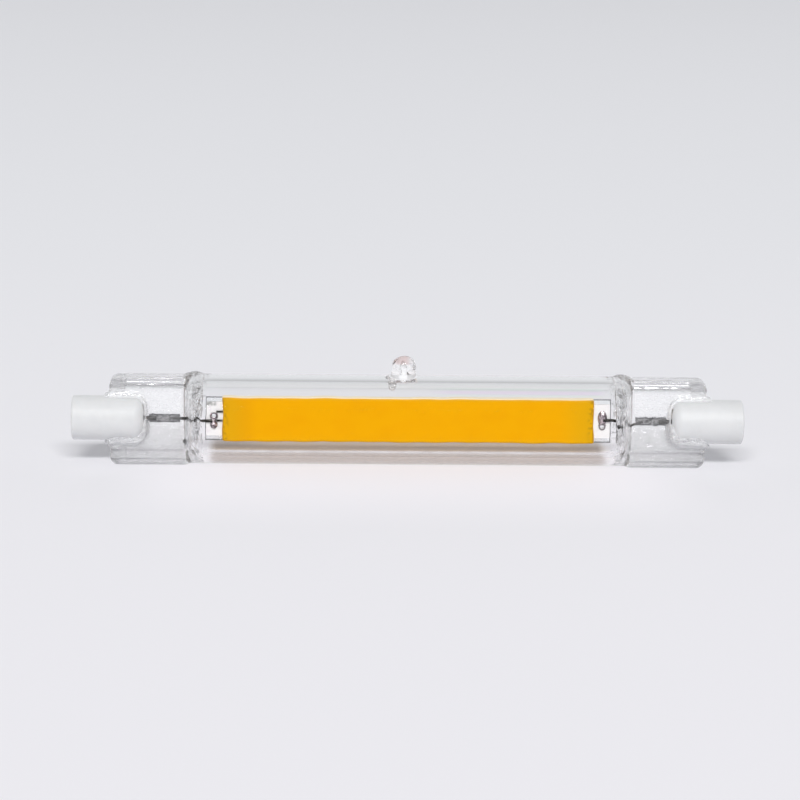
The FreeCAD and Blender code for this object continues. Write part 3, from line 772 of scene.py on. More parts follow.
        # Painted highlight: the broken milky line low on the tube.
        line = tree.times(
            tree.span(tree.off("Z", self.painted_highlight_height), *self.painted_highlight_half),
            tree.span(tree.off("X"), *self.painted_highlight_reach),
            tree.between(tree.noise(self.painted_highlight_gaps), *self.line_share),
            self.painted_highlight_milk,
        )
        return tree.most(self.seal_haze(tree), self.tip_haze(tree), line)

    def colour(self, tree: Tree) -> Socket:
        """Clear, brown at the tip's crown, and tinted with painted shade and painted reflections.

        Low on the tube it is painted shade, with a painted warm reflection of the strip where it shows;
        high on the tube it is a painted rainbow reflection, and on the seals painted shade.

        Args:
            tree: The material's nodes.

        Returns:
            The socket of the colour.
        """
        reach = tree.off("X")
        # Painted rainbow reflection high on the tube.
        painted_rainbow_share = tree.times(tree.span("X", *self.painted_rainbow_reach), tree.span("Y", *self.painted_rainbow_depth))
        upper = tree.mixed(painted_rainbow_share, self.tint, tree.ramp(self.painted_rainbow_start, self.painted_rainbow))
        # Low on the tube: painted shade and a painted warm reflection of the strip.
        tube = tree.mixed(tree.span("Z", *self.upper_half), tree.ramp(0.0, self.sides), upper)
        # On the seals: painted shade at the foot and along the grooves and shelves.
        seal = tree.mixed(tree.span(reach, *self.seal_reach), self.tint, tree.ramp(0.0, self.seal))
        base = tree.mixed(tree.span(reach, *self.tube_reach), tube, seal)
        crown = tree.times(tree.span("Z", *self.scorch_height), tree.span("X", *self.scorch_side))
        return tree.mixed(self.veins(tree), tree.mixed(crown, base, self.scorch), self.vein)

    def veins(self, tree: Tree) -> Socket:
        """Thin dark folds that run down the shoulders, and one dark fleck low on the left one.

        Args:
            tree: The material's nodes.

        Returns:
            The socket of their share.
        """
        ridge = tree.sum("ABSOLUTE", tree.sum("SUBTRACT", tree.noise(self.vein_grain), self.vein_level))
        line = tree.between(ridge, *self.vein_line)
        gaps = tree.between(tree.noise(self.vein_gaps), *self.vein_breaks)
        lines = tree.times(line, gaps, tree.band(tree.off("X"), self.vein_reach))
        aside, above = (tree.off(axis, at) for axis, at in zip("XZ", self.fleck))
        fleck = tree.times(tree.near(aside, above, *self.fleck_size), tree.span("Y", *self.fleck_side))
        return tree.most(lines, fleck)

    def sheen(self, tree: Tree) -> Socket:
        """Full reflections, but faint ones in front of the strip and on the upper rails.

        Args:
            tree: The material's nodes.

        Returns:
            The socket of the reflections' tint.
        """
        tube = tree.span(tree.off("X"), *self.glare_reach, 1.0, 0.0)
        strip = tree.span(tree.off("Z", AXIS_HEIGHT), *self.glare_rise, 1.0, 0.0)
        rail = tree.times(tree.span("Z", *self.rail_glare), tree.sum("SUBTRACT", 1.0, tube))
        return tree.mixed(tree.most(tree.times(tube, strip), rail), (1.0, 1.0, 1.0), (self.glare,) * 3)

    def build(self) -> Material:
        """Makes the material.

        Returns:
            The material.
        """
        tree = Tree("clear_glass")
        relief = self.relief(tree)
        glass = tree.shade(
            Base_Color=self.colour(tree),
            Roughness=0.0,
            IOR=self.ior,
            Transmission_Weight=1.0,
            Specular_Tint=self.sheen(tree),
            Normal=relief,
        )
        milk = tree.add("BsdfDiffuse", Color=self.milk, Normal=relief).outputs[0]
        return tree.finish(tree.pass_light(tree.blend(self.haze(tree), glass, milk), self.shadow_tint))


@dataclass(frozen=True)
class Ceramic:
    """White steatite, dry pressed and lightly glazed by firing. Sizes are in mm."""

    colour: tuple = (0.69, 0.695, 0.70)
    shade: tuple = (0.66, 0.665, 0.67)
    roughness: tuple = (0.42, 0.57)
    sheen: float = 0.35
    glow: float = 0.25
    glow_radius: tuple = (1.0, 0.9, 0.8)
    glow_depth: float = 0.6
    cloud: Grain = Grain(2.4, 3.0)
    cloud_limits: tuple = (0.35, 0.75)
    grain: Grain = Grain(0.12)
    grain_limits: tuple = (0.3, 0.7)
    grain_depth: float = 0.008
    pits: Grain = Grain(0.35, 1.0)
    pit_limits: tuple = (0.62, 0.72)
    pit_depth: float = 0.012

    def build(self) -> Material:
        """Makes the material.

        Returns:
            The material.
        """
        tree = Tree("cap_ceramic")
        cloud = tree.between(tree.noise(self.cloud), *self.cloud_limits)
        grain = tree.noise(self.grain)
        pits = tree.between(tree.noise(self.pits), *self.pit_limits)
        return tree.coated(
            Base_Color=tree.mixed(cloud, self.colour, self.shade),
            Roughness=tree.between(grain, *self.grain_limits, *self.roughness),
            Normal=tree.bump(pits, -self.pit_depth, tree.bump(grain, self.grain_depth)),
            Sheen_Weight=self.sheen,
            Subsurface_Weight=self.glow,
            Subsurface_Radius=self.glow_radius,
            Subsurface_Scale=self.glow_depth * MM,
        )


@dataclass(frozen=True)
class Cement:
    """Sandy off-white cement."""

    colour: tuple = (0.72, 0.70, 0.65)
    speck: tuple = (0.5, 0.47, 0.42)
    roughness: float = 0.95
    sand: Grain = Grain(0.18, 4.0, rough=0.7)
    sand_limits: tuple = (0.35, 0.7)
    depth: float = 0.08

    def build(self) -> Material:
        """Makes the material.

        Returns:
            The material.
        """
        tree = Tree("cap_cement")
        sand = tree.noise(self.sand)
        return tree.coated(
            Base_Color=tree.mixed(tree.between(sand, *self.sand_limits), self.colour, self.speck),
            Roughness=self.roughness,
            Normal=tree.bump(sand, self.depth),
        )


@dataclass(frozen=True)
class Metal:
    """A metal with drawn or rolled streaks and a little tarnish, and where outline is set a painted dark rim.

    Args:
        name: The material's name.
        colour: Its clean colour.
        tarnish: Its colour where it has dulled, and that of the painted dark rim.
        roughness: Its clean roughness.
        patch: Typical size of the dull patches, in mm.
        stretch: How much longer patches are along X, Y and Z.
        relief: Depth of the streaks, in mm.
        outline: How strongly surfaces seen at a slant take the tarnish colour, as a painted dark reflection.
        outline_limits: Between which slants it sets in.
        patch_limits: Between which noise values a patch sets in.
        patch_rise: How much rougher a patch is.
        streak_size: The streaks' size, as a share of the patches'.
    """

    name: str
    colour: tuple
    tarnish: tuple
    roughness: float = 0.3
    patch: float = 0.5
    stretch: tuple = (1.0, 1.0, 1.0)
    relief: float = 0.01
    outline: float = 0.0
    outline_limits: tuple = (0.3, 0.75)
    patch_limits: tuple = (0.35, 0.7)
    patch_rise: float = 0.25
    streak_size: float = 0.3

    def build(self) -> Material:
        """Makes the material.

        Returns:
            The material.
        """
        tree = Tree(self.name)
        patches = Grain(self.patch, detail=3.0, stretch=self.stretch, rough=0.6)
        tarnish_and_dark_rim = tree.between(tree.noise(patches), *self.patch_limits)
        streak = tree.noise(Grain(self.patch * self.streak_size, stretch=self.stretch))
        # Painted dark reflection: surfaces seen at a slant darken towards the tarnish colour.
        if self.outline > 0.0:
            slant = tree.add("LayerWeight").outputs["Facing"]
            tarnish_and_dark_rim = tree.most(tarnish_and_dark_rim, tree.between(slant, *self.outline_limits, 0.0, self.outline))
        dull_roughness = min(1.0, self.roughness + self.patch_rise)
        return tree.coated(
            Base_Color=tree.mixed(tarnish_and_dark_rim, self.colour, self.tarnish),
            Metallic=1.0,
            Roughness=tree.between(tarnish_and_dark_rim, 0.0, 1.0, self.roughness, dull_roughness),
            Normal=tree.bump(streak, self.relief),
        )


@dataclass(frozen=True)
class SealFoil:
    """Crinkled grey foil with darker feathered edges. Sizes are in mm."""

    middle: tuple = (0.34, 0.335, 0.34)
    dark: tuple = (0.05, 0.05, 0.055)
    edge: tuple = (0.42, 0.6)
    crinkle: Grain = Grain(0.3, 3.0, (2.0, 1.0, 1.0), 0.65)
    crinkle_limits: tuple = (0.42, 0.62)
    depth: float = 0.05
    roughness: float = 0.4
    metallic: float = 0.8

    def build(self) -> Material:
        """Makes the material.

        Returns:
            The material.
        """
        tree = Tree("seal_foil")
        edge = tree.span(tree.off("Z", AXIS_HEIGHT), *self.edge)
        crinkle = tree.noise(self.crinkle)
        shade = tree.most(edge, tree.between(crinkle, *self.crinkle_limits))
        return tree.coated(
            Base_Color=tree.mixed(shade, self.middle, self.dark),
            Metallic=self.metallic,
            Roughness=self.roughness,
            Normal=tree.bump(crinkle, self.depth),
        )


@dataclass(frozen=True)
class Phosphor:
    """Yellow phosphor in silicone: deeper where it lies over the parts, golden at its edges, with a painted
    highlight along its top.

    Sizes are in mm. An edge's zone is measured inwards from the coat's own edge.
    """

    middle: tuple = (0.84, 0.388, 0.0003)
    edge: tuple = (0.68, 0.372, 0.006)
    deep: tuple = (0.80, 0.332, 0.0003)
    # Colour of the painted highlight on the coat's upward faces.
    top_highlight_colour: tuple = (0.9, 0.78, 0.55)
    brown: tuple = (0.42, 0.22, 0.012)
    rim_width: float = 0.8
    rim_share: float = 0.9
    end_width: float = 7.0
    end_share: float = 0.75
    line_zone: tuple = (0.42, 0.2)
    line_share: float = 0.7
    blot_zone: tuple = (1.6, 0.4)
    blot_share: float = 0.8
    blots: Grain = Grain(0.55)
    blot_limits: tuple = (0.48, 0.62)
    driver_zone: tuple = (-29.0, -26.0, 0.7, 0.0)
    top_highlight: tuple = (0.45, 0.8)
    shine: float = 0.04
    roughness: tuple = (0.45, 0.6)
    passed: tuple = (1.0, 0.86, 0.66)
    swell: Grain = Grain(3.2, 2.0, (1.8, 1.0, 1.0))
    swell_limits: tuple = (0.3, 0.7)
    swell_tone: tuple = (0.45, 0.75, 0.0, 0.35)
    swell_depth: float = 0.08
    grain: Grain = Grain(0.14)
    grain_depth: float = 0.012

    def colour(self, tree: Tree, swell: Socket) -> Socket:
        """The coat's colour at each point, with a painted highlight on its upward faces.

        Args:
            tree: The material's nodes.
            swell: A slow pattern that follows the coat's swellings.

        Returns:
            The socket of the colour.
        """
        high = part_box("phosphor_coat")[1] / MM
        half = high.z - AXIS_HEIGHT
        up, out = tree.off("Z", AXIS_HEIGHT), tree.off("X")
        deep = tree.most(tree.between(swell, *self.swell_tone), tree.span("X", *self.driver_zone))
        edge = tree.most(
            tree.span(up, half - self.rim_width, half, 0.0, self.rim_share),
            tree.span(out, high.x - self.end_width, high.x, 0.0, self.end_share),
        )
        blots = tree.between(tree.noise(self.blots), *self.blot_limits, 0.0, self.blot_share)
        line_start, line_full = (high.x - inwards for inwards in self.line_zone)
        brown = tree.most(
            tree.times(blots, tree.span(out, *(high.x - inwards for inwards in self.blot_zone))),
            tree.span(out, line_start, line_full, 0.0, self.line_share),
        )
        colour = tree.mixed(edge, tree.mixed(deep, self.middle, self.deep), self.edge)
        # Upward faces take a cream colour: a painted highlight along the coat's top.
        faces = tree.add("SeparateXYZ", Vector=tree.add("NewGeometry").outputs["Normal"])
        top_highlight = tree.between(faces.outputs["Z"], *self.top_highlight)
        return tree.mixed(top_highlight, tree.mixed(brown, colour, self.brown), self.top_highlight_colour)

    def build(self) -> Material:
        """Makes the material.

        Returns:
            The material.
        """
        tree = Tree("phosphor")
        swell = tree.noise(self.swell)
        shader = tree.shade(
            Base_Color=self.colour(tree, swell),
            Roughness=tree.between(swell, *self.swell_limits, *self.roughness),
            Specular_IOR_Level=self.shine,
            Normal=tree.bump(tree.noise(self.grain), self.grain_depth, tree.bump(swell, self.swell_depth)),
        )
        return tree.finish(tree.pass_light(shader, self.passed))


@dataclass(frozen=True)
class StripPlate:
    """The strip's clear plate, slightly milky from being cut and fired, with darkened edges.

    Sizes are in mm. The edge's zone is measured inwards from the plate's own edge.
    """

    colour: tuple = (0.93, 0.95, 0.96)
    edge: tuple = (0.07, 0.07, 0.075)
    edge_zone: tuple = (0.16, 0.16 / 3)
    passed: tuple = (0.97, 0.97, 0.97)
    ior: float = 1.5
    clearness: float = 0.85
    cloud: Grain = Grain(0.9, 3.0)
    cloud_limits: tuple = (0.4, 0.75)
    roughness: tuple = (0.08, 0.3)
    grain: Grain = Grain(0.3)
    depth: float = 0.01

    def build(self) -> Material:
        """Makes the material.

        Returns:
            The material.
        """
        tree = Tree("strip_plate")
        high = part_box("led_substrate")[1] / MM
        sides = ((tree.off("Z", AXIS_HEIGHT), high.z - AXIS_HEIGHT), (tree.off("X"), high.x))
        start, full = self.edge_zone
        rims = [tree.span(away, end - start, end - full) for away, end in sides]
        shader = tree.shade(
            Base_Color=tree.mixed(tree.most(*rims), self.colour, self.edge),
            Roughness=tree.between(tree.noise(self.cloud), *self.cloud_limits, *self.roughness),
            IOR=self.ior,
            Transmission_Weight=self.clearness,
            Normal=tree.bump(tree.noise(self.grain), self.depth),
        )
        return tree.finish(tree.pass_light(shader, self.passed))


@dataclass(frozen=True)
class Terminal:
    """White metallised pads with a dull metal eyelet, smudged along the left pad's top.

    Sizes are in mm.
    """

    white: tuple = (0.88, 0.865, 0.855)
    worn: tuple = (0.80, 0.755, 0.775)
    wear: Grain = Grain(1.0, 3.0)
    wear_limits: tuple = (0.45, 0.75)
    smudge: tuple = (0.36, 0.36, 0.35)
    smudge_height: tuple = (10.1, 10.6)
    smudge_side: tuple = (-34.0, -33.4, 1.0, 0.0)
    smudge_grain: Grain = Grain(0.5, 3.0)
    smudge_limits: tuple = (0.3, 0.55)
    eyelet: tuple = (0.26, 0.24, 0.25)
    eyelet_depth: tuple = (0.475, 0.495)
    roughness: float = 0.35
    grain: Grain = Grain(0.25)
    depth: float = 0.015

    def build(self) -> Material:
        """Makes the material.

        Returns:
            The material.
        """
        tree = Tree("terminal_white")
        colour = tree.mixed(tree.between(tree.noise(self.wear), *self.wear_limits), self.white, self.worn)
        dirt = tree.times(
            tree.span("Z", *self.smudge_height),
            tree.span("X", *self.smudge_side),
            tree.between(tree.noise(self.smudge_grain), *self.smudge_limits),
        )
        rim = tree.span(tree.off("Y"), *self.eyelet_depth)
        return tree.coated(
            Base_Color=tree.mixed(rim, tree.mixed(dirt, colour, self.smudge), self.eyelet),
            Metallic=rim,
            Roughness=self.roughness,
            Normal=tree.bump(tree.noise(self.grain), self.depth),
        )


@dataclass(frozen=True)
class Enamel:
    """A fired or moulded coating with fine grain.

    Args:
        name: The material's name.
        colour: Its colour.
        worn: Its colour in patches.
        roughness: Its roughness.
        grain: Size of its grain, in mm.
        relief: Depth of its grain, in mm.
        passed: The share of the lamps' light that passes each surface.
        patch_size: How much larger the worn patches are than the grain.
        patch_limits: Between which noise values a patch sets in.
    """

    name: str
    colour: tuple
    worn: tuple
    roughness: float = 0.5
    grain: float = 0.2
    relief: float = 0.01
    passed: tuple = (0.0, 0.0, 0.0)
    patch_size: float = 4.0
    patch_limits: tuple = (0.4, 0.75)

    def build(self) -> Material:
        """Makes the material.

        Returns:
            The material.
        """
        tree = Tree(self.name)
        patches = Grain(self.grain * self.patch_size, detail=3.0)
        patch = tree.between(tree.noise(patches), *self.patch_limits)
        shader = tree.shade(
            Base_Color=tree.mixed(patch, self.colour, self.worn),
            Roughness=self.roughness,
            Normal=tree.bump(tree.noise(Grain(self.grain)), self.relief),
        )
        return tree.finish(tree.pass_light(shader, self.passed) if any(self.passed) else shader)


NICKEL = Metal("contact_nickel", (0.72, 0.70, 0.66), (0.5, 0.47, 0.42), 0.25, 0.8)
DARK_WIRE = Metal("lead_wire", (0.05, 0.046, 0.044), (0.012, 0.011, 0.01), 0.45, 0.3, (4.0, 1.0, 1.0))
# The solder's dark rim, where it is seen at a slant, is a painted dark reflection.
SOLDER = Metal("solder", (0.72, 0.62, 0.66), (0.07, 0.06, 0.065), 0.2, 0.5, relief=0.04, outline=1.0)
SILVER_TRACK = Metal("track_silver", (0.8, 0.76, 0.66), (0.6, 0.55, 0.45), 0.4, 0.5)
LIGHT_CHIP = Enamel("light_chip", (0.5, 0.58, 0.72), (0.35, 0.42, 0.6), 0.15, 0.3, 0.004, (0.9, 0.9, 0.9))
MOULDING = Enamel("component_black", (0.02, 0.02, 0.022), (0.035, 0.034, 0.033), 0.6, 0.08, 0.006)


def dress(piece: Object, material: Material, slot: str, *nodes: str) -> None:
    """Gives a new piece its finish and its place on the lamp.

    Args:
        piece: The new piece.
        material: Its finish.
        slot: The record's material slot that it belongs to. Not used.
        *nodes: The CAD nodes that it stands for.
    """
    piece.data.materials.clear()
    piece.data.materials.append(material)
    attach(piece, BODY)
    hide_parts(*nodes)
    LOG.info("%s: %d faces", piece.name, len(piece.data.polygons))


def repaint(material: Material, *nodes: str) -> None:
    """Gives CAD nodes that stay in view a better finish.

    Args:
        material: The finish.
        *nodes: The nodes' names.
    """
    for name in nodes:
        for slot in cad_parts[name].material_slots:
            slot.material = material
        LOG.info("%s: carried from the frame", name)


@dataclass
class Envelope:
    """The clear glass envelope, one piece from seal to seal.

    Sizes are in mm. A reach is a distance from the lamp's middle, and a height one from its axis.
    """

    radius: float = 7.9
    wall: float = 1.3
    tube_end: float = 35.9
    seal_start: float = 39.3
    cap_start: float = 46.3
    wing_end: float = 52.2
    wing_round: float = 1.5
    lip_end: float = 53.1
    lip_rise: float = 1.3
    lip_edge: float = 0.25
    seal_top: float = 7.6
    seal_base: float = 8.0
    web_half: float = 1.3
    rail_half: float = 2.2
    upper_rail: float = 1.8
    lower_rail: float = 2.6
    rail_round: float = 0.6
    shelf_ease: float = 0.22
    grooves: tuple = (-5.1, -6.9, 6.9)
    groove_depth: float = 0.22
    groove_width: float = 0.2
    crown: float = 0.45
    crown_ease: tuple = (0.35, 1.0)
    flat_ease: tuple = (0.5, 1.0)
    flatness: float = 0.985
    ripple_seeds: tuple = (11, 12)
    ripple_shift: float = 40.0
    ripple_length: float = 1.5
    ripple_depth: tuple = (0.012, 0.045)
    ripple_low: tuple = (-2.0, 3.5)
    ripple_web: tuple = (5.2, 6.2)
    fold_seed: int = 21
    fold_scale: tuple = (0.4, 9.0)
    fold_length: float = 0.9
    fold_depth: float = 0.05
    cap_radius: float = 3.9
    nose: float = 1.8
    gap: float = 0.15
    notch_over: float = 2.0
    cradle_wall: float = 0.8
    cradle_over: float = 0.2
    cradle_reach: tuple = (2.9, 3.4)
    cradle_levels: tuple = ((-6.0, 0.0), (-0.8, 0.0), (-0.35, 0.03), (-0.1, 0.14), (0.0, 0.4))
    cradle_power: float = 0.5
    cradle_wave: tuple = (0.12, 1.3)
    hollow_end: float = 38.5
    slit_half: float = 0.5
    slit_rise: float = 5.2
    tip_x: float = -1.0
    tip_lean: float = 0.05
    tip_rows: tuple = (
        (-0.7, 2.3), (-0.1, 2.25), (0.25, 2.2), (0.6, 2.15), (1.0, 2.1), (1.4, 2.08), (1.8, 2.08),
        (2.15, 2.06), (2.5, 1.96), (2.8, 1.77), (3.05, 1.45), (3.25, 1.08), (3.4, 0.7), (3.46, 0.35),
        (3.48, 0.05),
    )
    tip_seed: int = 5
    tip_wave: tuple = (2.2, 1.3, 2.4)
    tip_lumps: tuple = (0.06, 0.08)
    bore_rows: tuple = (
        (-2.6, 0.7), (-1.2, 0.55), (0.0, 0.5), (0.8, 0.46), (1.5, 0.4), (1.95, 0.28), (2.15, 0.14),
        (2.2, 0.03),
    )
    drop_x: float = -2.9
    drop_rows: tuple = (
        (-1.5, 0.04), (-1.44, 0.3), (-1.25, 0.52), (-0.9, 0.66), (-0.4, 0.75), (0.2, 1.0), (0.7, 1.1),
    )
    crease: float = 32.0
    tube_rings: int = 26
    shoulder_rings: int = 30
    web_rings: int = 44
    wing_rings: int = 26
    corner_rings: int = 16
    lip_rings: int = 12
    hollow_rings: int = 20
    around: int = 264
    around_hollow: int = 120
    around_cradle: int = 96
    around_tip: int = 72
    around_bore: int = 40
    around_drop: int = 48
    around_room: int = 120
    nose_steps: int = 12

    @property
    def notch_radius(self) -> float:
        """Radius of the room that a cap takes."""
        return self.cap_radius + self.gap

    @property
    def cradle_end(self) -> float:
        """Reach of a cradle's end, half way along the lip."""
        return (self.wing_end + self.lip_end) / 2

    def pressed(self, reach: float) -> float:
        """How far the shoulder has come at a reach: 0 on the tube, 1 on the seal."""
        return straight_step(reach, self.tube_end, self.seal_start)

    def flattened(self, reach: float) -> float:
        """How flat the skin's section is at a reach: 0 on the tube, 1 on the seal."""
        return float(smooth_step(self.pressed(reach), *self.flat_ease))

    def stations(self) -> np.ndarray:
        """Where the skin's rings lie along the lamp, closer together at the seals.

        Returns:
            Their places along X.
        """
        ends = (0.0, self.tube_end, self.seal_start, self.cap_start, self.wing_end - self.wing_round)
        counts = (self.tube_rings, self.shoulder_rings, self.web_rings, self.wing_rings)
        runs = [np.linspace(*run)[1:] for run in zip(ends, ends[1:], counts)]
        rounds = (
            (self.wing_end, self.wing_round, self.corner_rings),
            (self.lip_end, self.lip_end - self.wing_end, self.lip_rings),
        )
        for end, width, count in rounds:
            runs.append(end - width * np.cos(np.linspace(0.0, math.pi / 2, count)[1:]))
        return self.mirrored(np.concatenate([[0.0], *runs]))

    @staticmethod
    def mirrored(half: np.ndarray) -> np.ndarray:
        """Stations of the whole lamp, from those of its right half."""
        return np.concatenate([-half[:0:-1], half])

    def outline(self, reach: float) -> tuple:
        """The skin's top and foot at a distance from the middle.

        Args:
            reach: Distance along the lamp.

        Returns:
            Height of the top and of the foot, from the axis.
        """
        if reach > self.wing_end:
            share = min(1.0, (reach - self.wing_end) / (self.lip_end - self.wing_end))
            rise = self.notch_radius + self.lip_edge + self.lip_rise * (1.0 - circle(1.0 - share))
            return rise, -rise
        share = self.pressed(reach)
        ease = float(smooth_step(share, *self.crown_ease))
        top = self.radius + self.crown * math.sin(math.pi * share) + (self.seal_top - self.radius) * ease
        foot = self.radius + (self.seal_base - self.radius) * ease
        corner = min(max((reach - self.wing_end) / self.wing_round + 1.0, 0.0), 1.0)
        drop = self.wing_round * (1.0 - circle(corner))
        return top - drop, drop - foot

    def thickness(self, height: np.ndarray, top: float, foot: float) -> np.ndarray:
        """Half the seal's thickness: a flat web between two rails.

        Args:
            height: Heights from the axis.
            top: Height of the outline's top there.
            foot: Height of its foot.

        Returns:
            Half thicknesses.
        """
        shelves = ((height, self.seal_top - self.upper_rail), (-height, self.seal_base - self.lower_rail))
        rails = [smooth_step(up, edge - self.shelf_ease, edge + self.shelf_ease) for up, edge in shelves]
        half = self.web_half + (self.rail_half - self.web_half) * np.maximum(*rails)
        for groove in self.grooves:
            half = half - self.groove_depth * np.exp(-(((height - groove) / self.groove_width) ** 2))
        edge = np.maximum(height - (top - self.rail_round), (foot + self.rail_round) - height)
        return half - self.rail_round * (1.0 - circle(np.clip(edge / self.rail_round, 0.0, 1.0)))

    def unevenness(self, x: float, height: np.ndarray, across: np.ndarray, side: np.ndarray) -> np.ndarray:
        """How far a seal's faces and a shoulder's folds stand out.

        Args:
            x: The station.
            height: Heights of the section's points from the axis.
            across: The cosines of their angles.
            side: Which face they are on, from -1 to 1.

        Returns:
            Lengths outwards.
        """
        share = self.pressed(abs(x))
        shifted = height + self.ripple_shift * np.sign(across)
        lumps = waves(x, shifted, self.ripple_length, self.ripple_seeds[int(x >= 0)])
        in_web = 1.0 - smooth_step(np.abs(height), *self.ripple_web)
        least, more = self.ripple_depth
        depth = least + more * smooth_step(-height, *self.ripple_low) * in_web
        up, over = self.fold_scale
        folds = waves(x, height * up + over * side, self.fold_length, self.fold_seed)
        return depth * lumps * self.flattened(abs(x)) + self.fold_depth * math.sin(math.pi * share) * folds

    def ring(self, x: float) -> np.ndarray:
        """The skin's section at one station.

        Args:
            x: The station.

        Returns:
            Its points.
        """
        top, foot = self.outline(abs(x))
        middle, half = (top + foot) / 2, (top - foot) / 2
        angles = turn(self.around, -math.pi)
        across, up = np.cos(angles), np.sin(angles)
        flat = (self.web_half + self.rail_half) / 2
        width = flat + (self.radius - flat) * circle(self.flatness * self.pressed(abs(x)))
        height = middle + half * np.clip(up / self.flatness, -1.0, 1.0)
        side = np.clip(across / circle(self.flatness), -1.0, 1.0)
        pressed = self.flattened(abs(x))
        y = width * across * (1.0 - pressed) + self.thickness(height, top, foot) * side * pressed
        y = y + np.sign(across) * np.abs(side) * self.unevenness(x, height, across, side)
        z = (middle + half * up) * (1.0 - pressed) + height * pressed
        return spots(x, np.clip(y, -self.radius, self.radius), AXIS_HEIGHT + np.maximum(z, -AXIS_HEIGHT))

    def hollow(self) -> Object:
        """The room inside the tube, closing to a slit at each seal.

        Returns:
            The solid.
        """
        taper = self.hollow_end - self.tube_end
        tube = np.linspace(0.0, self.tube_end, self.hollow_rings)
        ends = self.tube_end + taper * np.sin(np.linspace(0, math.pi / 2, self.hollow_rings))[1:]
        bore = self.radius - self.wall
        angles = turn(self.around_hollow, -math.pi)
        rings = []
        for x in self.mirrored(np.concatenate([tube, ends])):
            share = straight_step(abs(x), self.tube_end, self.hollow_end)
            width = self.slit_half + (bore - self.slit_half) * circle(share)
            rise = bore - (bore - self.slit_rise) * share * share
            rings.append(spots(x, width * np.cos(angles), AXIS_HEIGHT + rise * np.sin(angles)))
        return skin("hollow", rings)

    def tip(self) -> Object:
        """The exhaust tip: a flared foot and a stub that slumped as it was melted shut.

        Returns:
            The solid.
        """
        angles = turn(self.around_tip)
        across, deep = np.cos(angles), np.sin(angles)
        breadth, climb, length = self.tip_wave
        share, most = self.tip_lumps
        rings = []
        for height, radius in self.tip_rows:
            swell = share * float(smooth_step(height, 0.0, 1.0)) * min(1.0, radius)
            lumps = waves(across * breadth, deep * breadth + height * climb, length, self.tip_seed)
            reach = np.minimum(radius * (1.0 + swell * lumps), radius + most)
            x = self.tip_x + self.tip_lean * height + reach * across
            rings.append(spots(x, reach * deep, AXIS_HEIGHT + self.radius + height))
        return skin("tip", rings)

    def room(self, side: Side, extra: float, end: float, name: str) -> Object:
        """A round-nosed solid about a cap's place.

        Args:
            side: Which end of the lamp.
            extra: How far it stands off the cap.
            end: Where it stops along the lamp.
            name: The object's name.

        Returns:
            The solid.
        """
        centre = self.cap_start + self.nose
        radius = self.nose + extra
        profile = [(centre - radius, POINT)]
        profile += arc((centre, self.cap_radius - self.nose), radius, 180.0, 90.0, self.nose_steps)
        profile += [(end, self.cap_radius + extra), (end, POINT)]
        return turned(name, profile, (0, 0, AXIS_HEIGHT), side.along, self.around_room)

    def cradle(self, side: Side) -> Object:
        """The trough of glass that was squeezed out under a cap.

        Args:
            side: Which end of the lamp.

        Returns:
            The solid.
        """
        stand_off = self.gap + self.cradle_wall
        bowl = self.room(side, stand_off, self.cradle_end, "cradle")
        reach = self.cradle_reach[side is Side.RIGHT]
        start, end = self.cap_start - self.gap - self.cradle_wall, self.cradle_end + self.cradle_over
        middle, half = (start + end) / 2, (end - start) / 2
        angles = turn(self.around_cradle, -math.pi)
        ways = (np.cos(angles), np.sin(angles))
        squared = [np.sign(way) * np.abs(way) ** self.cradle_power for way in ways]
        plan_x = middle + half * squared[0]
        swing, pace = self.cradle_wave
        rings = []
        for level, inset in self.cradle_levels:
            shrink = 1.0 - inset / reach
            rim = level + swing * np.sin(plan_x * pace + side.value)
            x = side.value * (middle + (plan_x - middle) * shrink)
            rings.append(spots(x, reach * squared[1] * shrink, AXIS_HEIGHT + rim))
        combine(bowl, skin("cradle_plan", rings), Operation.INTERSECT)
        return bowl

    def build(self) -> Object:
        """Makes the whole envelope.

        Returns:
            The envelope.
        """
        glass = skin("glass_body", [self.ring(x) for x in self.stations()])
        combine(glass, self.tip(), Operation.UNION)
        for side in Side:
            combine(glass, self.cradle(side), Operation.UNION)
            notch = self.room(side, self.gap, self.lip_end + self.notch_over, "notch")
            combine(glass, notch, Operation.DIFFERENCE)
        hollow = self.hollow()
        crown = AXIS_HEIGHT + self.radius
        bore = turned("tip_bore", self.bore_rows, (self.tip_x, 0.0, crown), UP, self.around_bore)
        combine(hollow, bore, Operation.UNION)
        foot = (self.drop_x, 0.0, crown - self.wall)
        drop = turned("drop", self.drop_rows, foot, UP, self.around_drop)
        combine(hollow, drop, Operation.DIFFERENCE)
        combine(glass, hollow, Operation.DIFFERENCE)
        soften(glass.data, self.crease)
        dress(glass, ClearGlass().build(), "clear_glass", "glass_envelope")
        return glass


